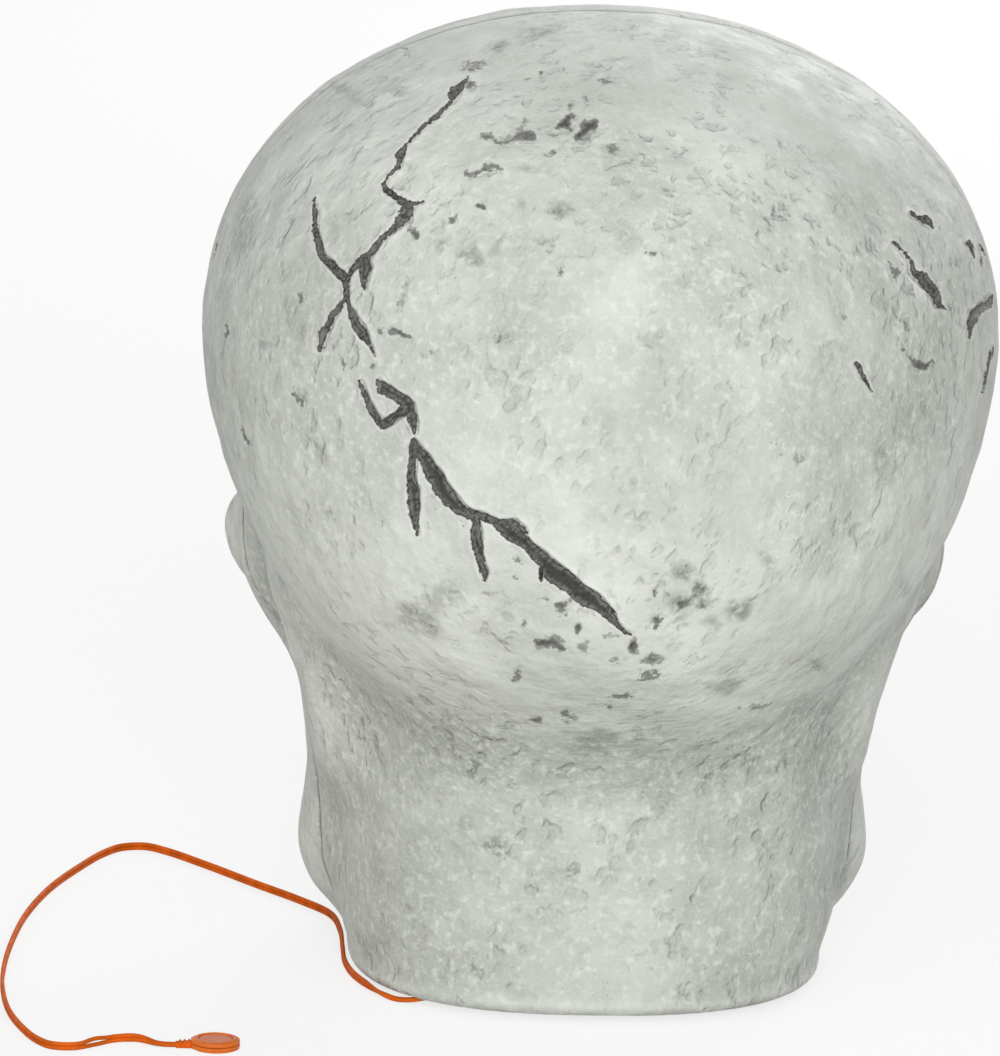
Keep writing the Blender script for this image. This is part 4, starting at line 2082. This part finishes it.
@dataclass
class TriggerLead:
    """The flat two-core lead from the grommet to the push button, on edge where it bends."""

    route: tuple[Point, ...] = (
        (67.7, 91, 4.8), (76, 91, 4.6), (85, 91, 3.2), (92.5, 90.4, 1.9), (100, 87, 1.4),
        (107, 79, 2.2), (114.5, 62, 2.5), (121, 40, 2.3), (124.5, 15, 2.3), (125, -15, 2.3),
        (125.5, -50, 2.3), (130, -84, 2.3), (145.7, -113, 2.3), (168, -146, 2.3),
        (194, -186, 2.3), (217, -218, 2.3), (228, -227.5, 2.3), (240, -225, 2.3),
        (250, -211, 2.3), (265, -174, 2.3), (279, -131, 2.3), (291, -75, 2.3),
        (298, -18, 2.3), (301.6, 34, 2.3), (302, 78, 2.3), (298, 126, 2.3),
        (290.5, 160, 2.3), (283.5, 180, 2.3), (276, 190.5, 2.3), (265, 192, 2.3),
        (254, 184, 2.3), (243.5, 175.5, 2.3), (233, 175, 2.5), (223.5, 181.5, 1.7),
        (218, 183, 1.5), (213.4, 183, 1.5))
    turn_shares: tuple[Pair, ...] = ((0.035, 0.08), (0.965, 0.99))
    core_radius: float = 1.1
    core_share: float = 0.995
    core_apart: float = 0.98
    web: float = 0.35
    web_share: float = 0.6
    spacing: float = 1.2
    steps: int = 16
    core_sides: int = 14
    sharp_deg: float = 50
    path_stride: int = 4
    parted: Pair = (0.937, 0.96)
    part_by: float = 0.9

    def line(self) -> Array:
        """The lead's middle line in even steps, on the same curve as its solid.

        Returns:
            Places in millimetres, one a row.
        """
        points = np.array(self.route, float)
        points = np.vstack([2 * points[0] - points[1], points, 2 * points[-1] - points[-2]])
        share = np.linspace(0, 1, self.steps + 1)[:-1, None]
        dense = []
        for p0, p1, p2, p3 in zip(points, points[1:], points[2:], points[3:]):
            d0, d1, d2 = (np.linalg.norm(b - a) ** 0.5 for a, b in ((p0, p1), (p1, p2), (p2, p3)))
            t1 = ((p1 - p0) / d0 - (p2 - p0) / (d0 + d1) + (p2 - p1) / d1) * d1
            t2 = ((p2 - p1) / d1 - (p3 - p1) / (d1 + d2) + (p3 - p2) / d2) * d1
            dense.append(p1 + t1 * share + (-3 * p1 + 3 * p2 - 2 * t1 - t2) * share ** 2
                         + (2 * p1 - 2 * p2 + t1 + t2) * share ** 3)
        dense = np.vstack([*dense, points[-2:-1]])
        passed = np.concatenate([[0], np.cumsum(np.linalg.norm(np.diff(dense, axis=0), axis=1))])
        count = int(passed[-1] / self.spacing)
        return np.stack([np.interp(np.linspace(0, passed[-1], count), passed, dense[:, i])
                         for i in range(3)], axis=1)

    def build(self) -> Piece:
        """Makes the lead.

        Returns:
            The lead as one mesh: two round cores and the web between them.
        """
        line = self.line()
        tangent = np.gradient(line, axis=0)
        tangent /= np.linalg.norm(tangent, axis=1)[:, None]
        side = np.cross(tangent, [0, 0, 1])
        side /= np.linalg.norm(side, axis=1)[:, None]
        up = np.cross(side, tangent)
        share = np.linspace(0, 1, len(line))
        (flat_end, edge_start), (edge_end, flat_start) = self.turn_shares
        roll = (math.pi / 2 * smooth_step(flat_end, edge_start, share)
                * (1 - smooth_step(edge_end, flat_start, share)))[:, None]
        side, up = (side * np.cos(roll) - up * np.sin(roll),
                    up * np.cos(roll) + side * np.sin(roll))
        start, end = self.parted
        bulge = np.sin(np.clip((share - start) / (end - start), 0, 1) * math.pi) ** 2
        apart = self.core_radius * self.core_apart
        lifted = (apart + self.part_by * bulge)[:, None]
        points, faces = [], []
        section = circle(1, 0, self.core_sides)[:, :2] * self.core_radius * self.core_share
        self.tube(points, faces, line + side * apart, side, up, section)
        self.tube(points, faces, line - side * lifted, side, up, section)
        half = (self.core_radius * self.web_share, self.web)
        web = np.array([[1, -1], [1, 1], [-1, 1], [-1, -1]]) * half
        for span in (share < start, share > end):
            self.tube(points, faces, line[span], side[span], up[span], web)
        lead = mesh_piece("flat_lead", np.concatenate(points), faces, self.sharp_deg)
        self.length = float(np.linalg.norm(np.diff(line, axis=0), axis=1).sum())
        return stand_in(lead, "trigger_lead", Finish.LEAD)

    def tube(self, points: list[Array], faces: list[list[int]], line: Array, side: Array,
             up: Array, section: Array) -> None:
        """Adds a closed tube along a line.

        Args:
            points: The mesh's points so far.
            faces: Its faces so far.
            line: The tube's middle line.
            side: The level direction across it at each place.
            up: The direction out of its flat side.
            section: Its section as pairs along side and up.
        """
        rings = (line[:, None] + side[:, None] * section[None, :, :1]
                 + up[:, None] * section[None, :, 1:])
        faces += closed_faces(len(line), len(section), sum(len(p) for p in points))
        points.append(rings.reshape(-1, 3))

    def declare(self, lead: Piece, pieces: Sequence[Piece]) -> None:
        """Says what the lead is, and what hangs on it.

        Args:
            lead: The lead's mesh.
            pieces: The pieces of the button on its end.
        """
        line = self.line()
        [c * MM for c in self.route[0]]


@dataclass
class TriggerButton:
    """The push button on the lead: a flat drop-shaped case round a sunk press face."""

    radius: float = 12.3
    half_point: float = 3.5
    sides: int = 120
    split: float = 2.6
    gap: float = 0.3
    height: float = 5.4
    roof: float = 0.8
    floor: float = 1
    bore: float = 8.7
    pocket: float = 9.6
    round_edge: float = 0.9
    cap_radius: float = 8.4
    cap_flange: float = 9.3
    cap_top: float = 4.9
    bevel_share: float = 0.3
    cap_parting: float = 0.8
    chamfer: float = 0.25
    wall_top: float = 0.5
    edge_steps: int = 6
    rim: tuple[Pair, ...] = (
        (11.0, 0.42), (10.6, 0.12), (10.1, 0), (9.5, 0), (9.0, 0.12), (8.7, 0.4))
    lip: float = 0.02
    cap_edge: tuple[Pair, ...] = ((0, 0.35), (0.12, 0.12), (0.4, 0))
    dish: tuple[Pair, ...] = (
        (7.2, 0), (6.6, 0.18), (5.2, 0.26), (2.6, 0.32), (0.4, 0.34))
    relief_ribs: int = 3
    relief_lap: float = 0.45
    relief_sides: int = 40
    relief_taper: float = 0.12
    relief_power: float = 0.45
    rib_depth: float = 0.6
    rib: tuple[Pair, ...] = ((0, 1), (0.08, 0), (0.44, 0), (0.52, 1), (0.98, 1))
    sharp_deg: float = 40
    relief_sharp_deg: float = 45

    def outline(self, inset: float, height: float) -> Array:
        """The drop-shaped outline of the case.

        Args:
            inset: How far inside the full outline it runs.
            height: Its height.

        Returns:
            Its points about the button's centre.
        """
        turn = np.arange(self.sides) / self.sides * 2 * math.pi
        radius = reach = self.radius - inset
        half = self.half_point - inset
        a = math.acos((radius - half) / reach)
        tip = np.array([reach, half])
        touch = np.array([radius * math.cos(a), radius * math.sin(a)])
        way = touch - tip
        normal = np.array([way[1], -way[0]]) / np.linalg.norm(way)
        c, s = np.cos(turn), np.abs(np.sin(turn))
        with np.errstate(divide="ignore", invalid="ignore"):
            line = (normal @ tip) / (normal[0] * c + normal[1] * s)
            end = reach / c
        angle = np.abs((turn + math.pi) % (2 * math.pi) - math.pi)
        far = np.where(angle < math.atan2(half, reach), end, np.where(angle < a, line, radius))
        return np.stack([far * np.cos(turn), far * np.sin(turn), np.full(self.sides, height)], 1)

    def centre(self) -> Vector:
        """The button's centre on the ground, in metres, from its solids."""
        low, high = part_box("trigger_cap")
        return Vector((*((low + high) / 2).xy, 0))

    def case_bottom(self) -> Piece:
        """The lower half of the case."""
        edge, soft = self.round_edge, self.round_edge * self.bevel_share
        rings = [self.outline(edge, 0), self.outline(soft, soft), self.outline(0, edge),
                 self.outline(0, self.split - self.chamfer),
                 self.outline(self.chamfer, self.split),
                 circle(self.pocket, self.split, self.sides),
                 circle(self.pocket, self.floor, self.sides)]
        return loft("button_base", rings, self.sharp_deg)

    def case_top(self) -> Piece:
        """The upper half of the case, open over the press face, with a raised rim."""
        low = self.split + self.gap
        roof, wall = self.height - self.roof, self.height - self.wall_top
        edge, sides = self.round_edge, self.sides
        rings = [self.outline(self.chamfer, low), self.outline(0, low + self.chamfer),
                 self.outline(0, self.height - edge - self.wall_top)]
        for turn in np.linspace(0, math.pi / 2, self.edge_steps)[1:]:
            rings.append(self.outline(edge * (1 - math.cos(turn)),
                                      wall - edge * (1 - math.sin(turn))))
        rim = [*((radius, self.height - drop) for radius, drop in self.rim),
               (self.bore, roof), (self.pocket, roof - self.lip), (self.pocket, low)]
        rings += [circle(radius, z, sides) for radius, z in rim]
        faces = ring_faces(len(rings), sides)
        last = (len(rings) - 1) * sides
        faces += [[last + i, last + (i + 1) % sides, (i + 1) % sides, i] for i in range(sides)]
        return mesh_piece("button_case", np.concatenate(rings), faces, self.sharp_deg)

    def cap(self) -> Piece:
        """The press face, a little dished, with the flange that keeps it in the case."""
        flange = self.height - self.roof - self.gap
        under = flange - self.cap_parting
        profile = [(self.dish[-1][0], under), (self.cap_flange, under),
                   (self.cap_flange, flange), (self.cap_radius, flange),
                   *((self.cap_radius - inset, self.cap_top - drop)
                     for inset, drop in self.cap_edge),
                   *((radius, self.cap_top - drop) for radius, drop in self.dish)]
        rings = [circle(radius, z, self.sides) for radius, z in profile]
        return loft("press_face", rings, self.sharp_deg)

    def relief(self) -> Piece:
        """The ribbed end that the lead goes into, thinner towards the lead."""
        low, high, _ = solid_box("trigger_relief")
        centre = self.centre() / MM
        length, half, tall = high.x - low.x, (high.y - low.y) / 2, high.z
        pitch = length / self.relief_ribs
        steps = []
        for i in range(self.relief_ribs):
            for share, slim in self.rib:
                x = min((i + share) * pitch, length)
                taper = 1 - self.relief_taper * x / length
                steps.append((x + low.x - centre.x, (half - self.rib_depth * slim) * taper,
                              (tall - self.rib_depth * slim) * taper))
        (first, *size), (last, *end_size) = steps[0], steps[-1]
        steps = [(first - self.relief_lap, *size), *steps, (last + self.relief_lap, *end_size)]
        section = circle(1, 0, self.relief_sides)[:, :2]
        y, z = (np.sign(section) * np.abs(section) ** self.relief_power).T
        rings = [np.stack([np.full(self.relief_sides, x), y * wide, (1 + z) / 2 * high], 1)
                 for x, wide, high in steps]
        return loft("button_relief", rings, self.relief_sharp_deg)

    def build(self) -> list[Piece]:
        """Makes the button's pieces.

        Returns:
            The pieces.
        """
        plan = (
            (self.case_bottom, "trigger_case_bottom", Finish.BUTTON, "skull"),
            (self.case_top, "trigger_case_top", Finish.BUTTON, "skull"),
            (self.cap, "trigger_cap", Finish.PRESS, "trigger_button"),
            (self.relief, "trigger_relief", Finish.LEAD, "skull"),
        )
        move = Matrix.Translation(self.centre())
        return [stand_in(place_piece(make(), move), *rest) for make, *rest in plan]


@dataclass
class Innards:
    """The solids that stay as they are: the starts of their names under each finish."""

    finishes: tuple[tuple[Finish, tuple[str, ...]], ...] = (
        (Finish.BASE, ("base_plate", "battery_door")),
        (Finish.CELL, ("battery_cell",)),
        (Finish.STEEL, ("battery_contact", "speaker_frame", "speaker_screw", "board_screw",
                        "trigger_switch")),
        (Finish.PAPER, ("speaker_cone",)),
        (Finish.MAGNET, ("speaker_magnet",)),
        (Finish.BOARD, ("circuit_board", "light_board")),
        (Finish.CHIP, ("sound_chip", "mode_switch_body")),
        (Finish.SWITCH, ("mode_switch_slider",)),
        (Finish.LIGHT, ("light_left", "light_right")),
        (Finish.WIRE, ("eye_wire", "speaker_wire", "battery_wire", "mode_switch_wire",
                       "trigger_inner_wire")),
        (Finish.LEAD, ("lead_grommet",)),
    )

    def dress(self, nodes: dict[str, Piece]) -> None:
        """Gives each solid that still shows its finish."""
        for name, node in sorted(nodes.items()):
            for finish, starts in self.finishes:
                if name.startswith(starts) and not node.hide_render:
                    finish.dress(node)
                    log.info("%s keeps its solid", name)


@dataclass
class Studio:
    """A plain pale floor, a white surround and soft lamps."""

    floor_half: float = 12
    floor_colour: Colour = (0.8, 0.8, 0.79)
    shadow_share: float = 0.25
    ambient: float = 0.43
    lamps: tuple[tuple[str, Point, float, float], ...] = (
        ("key", (0.3, 4.1, 1.6), 1.9, 98),
        ("fill", (0.9, 2.4, 3.4), 2.2, 12),
        ("front", (-1.5, -3.5, 2.2), 2.4, 60),
    )
    aim: Point = (0, 0, 0.26)

    def shown(self, tree: bpy.types.NodeTree) -> bpy.types.NodeSocket:
        """Whether a ray shows the background: from the camera, a mirror or through glass.

        Args:
            tree: The node tree that asks.

        Returns:
            A socket with one for such a ray.
        """
        path = tree.nodes.new("ShaderNodeLightPath").outputs
        shown = path["Is Camera Ray"]
        for name in ("Is Glossy Ray", "Is Transmission Ray"):
            both = tree.nodes.new("ShaderNodeMath")
            both.operation = "MAXIMUM"
            tree.links.new(shown, both.inputs[0])
            tree.links.new(path[name], both.inputs[1])
            shown = both.outputs[0]
        return shown

    def floor(self) -> None:
        """Makes the floor, which renders white where nothing shades it."""
        corners = np.array([[-1, -1, 0], [1, -1, 0], [1, 1, 0], [-1, 1, 0]])
        piece = mesh_piece("floor", corners * self.floor_half / MM, [[0, 1, 2, 3]])
        g = Graph("pale_floor")
        shown = self.shown(g.tree)
        colour = g.mix(shown, self.floor_colour, (self.shadow_share,) * 3)
        strength = g.times(shown, 1 - self.shadow_share)
        piece.data.materials.append(g.finish(
            Base_Color=colour, Roughness=1.0, Specular_IOR_Level=0.0,
            Emission_Color=(1.0, 1.0, 1.0), Emission_Strength=strength))

    def world(self) -> None:
        """Makes the even light all round, white where it shows."""
        world = bpy.data.worlds.new("studio")
        world.use_nodes = True
        tree = world.node_tree
        background = tree.nodes["Background"]
        background.inputs["Color"].default_value = (1, 1, 1, 1)
        level = tree.nodes.new("ShaderNodeMapRange")
        level.inputs["To Min"].default_value = self.ambient
        level.inputs["To Max"].default_value = 1
        tree.links.new(self.shown(tree), level.inputs["Value"])
        tree.links.new(level.outputs[0], background.inputs["Strength"])
        bpy.context.scene.world = world

    def build(self) -> None:
        """Makes the floor, the surround and the lamps."""
        self.floor()
        self.world()
        for name, place, size, power in self.lamps:
            data = bpy.data.lights.new(name, "AREA")
            data.size = size
            data.energy = power
            lamp = bpy.data.objects.new(name, data)
            way = Vector(self.aim) - Vector(place)
            lamp.matrix_world = (Matrix.Translation(place)
                                 @ way.to_track_quat("-Z", "Y").to_matrix().to_4x4())
            bpy.context.scene.collection.objects.link(lamp)
        bpy.context.scene.view_settings.view_transform = "Standard"


def main() -> None:
    """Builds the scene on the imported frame."""
    logging.basicConfig(level=logging.INFO, format="%(message)s")
    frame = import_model()
    camera = PhotoCamera()
    camera.build()
    nodes = frame["nodes"]
    lead_maker = TriggerLead()
    lead = lead_maker.build()
    button = TriggerButton().build()
    lead_maker.declare(lead, [*button, nodes["trigger_switch"]])
    base = BaseParts().build(nodes)
    eyes = EyeLights().build()
    shells = SkullShells(SkullForm(), camera).build()
    for piece in (lead, *button, *base, *eyes, *shells):
        log.info("made %s", piece.name)
    Innards().dress(nodes)
    Studio().build()


if __name__ == "__main__":
    main()
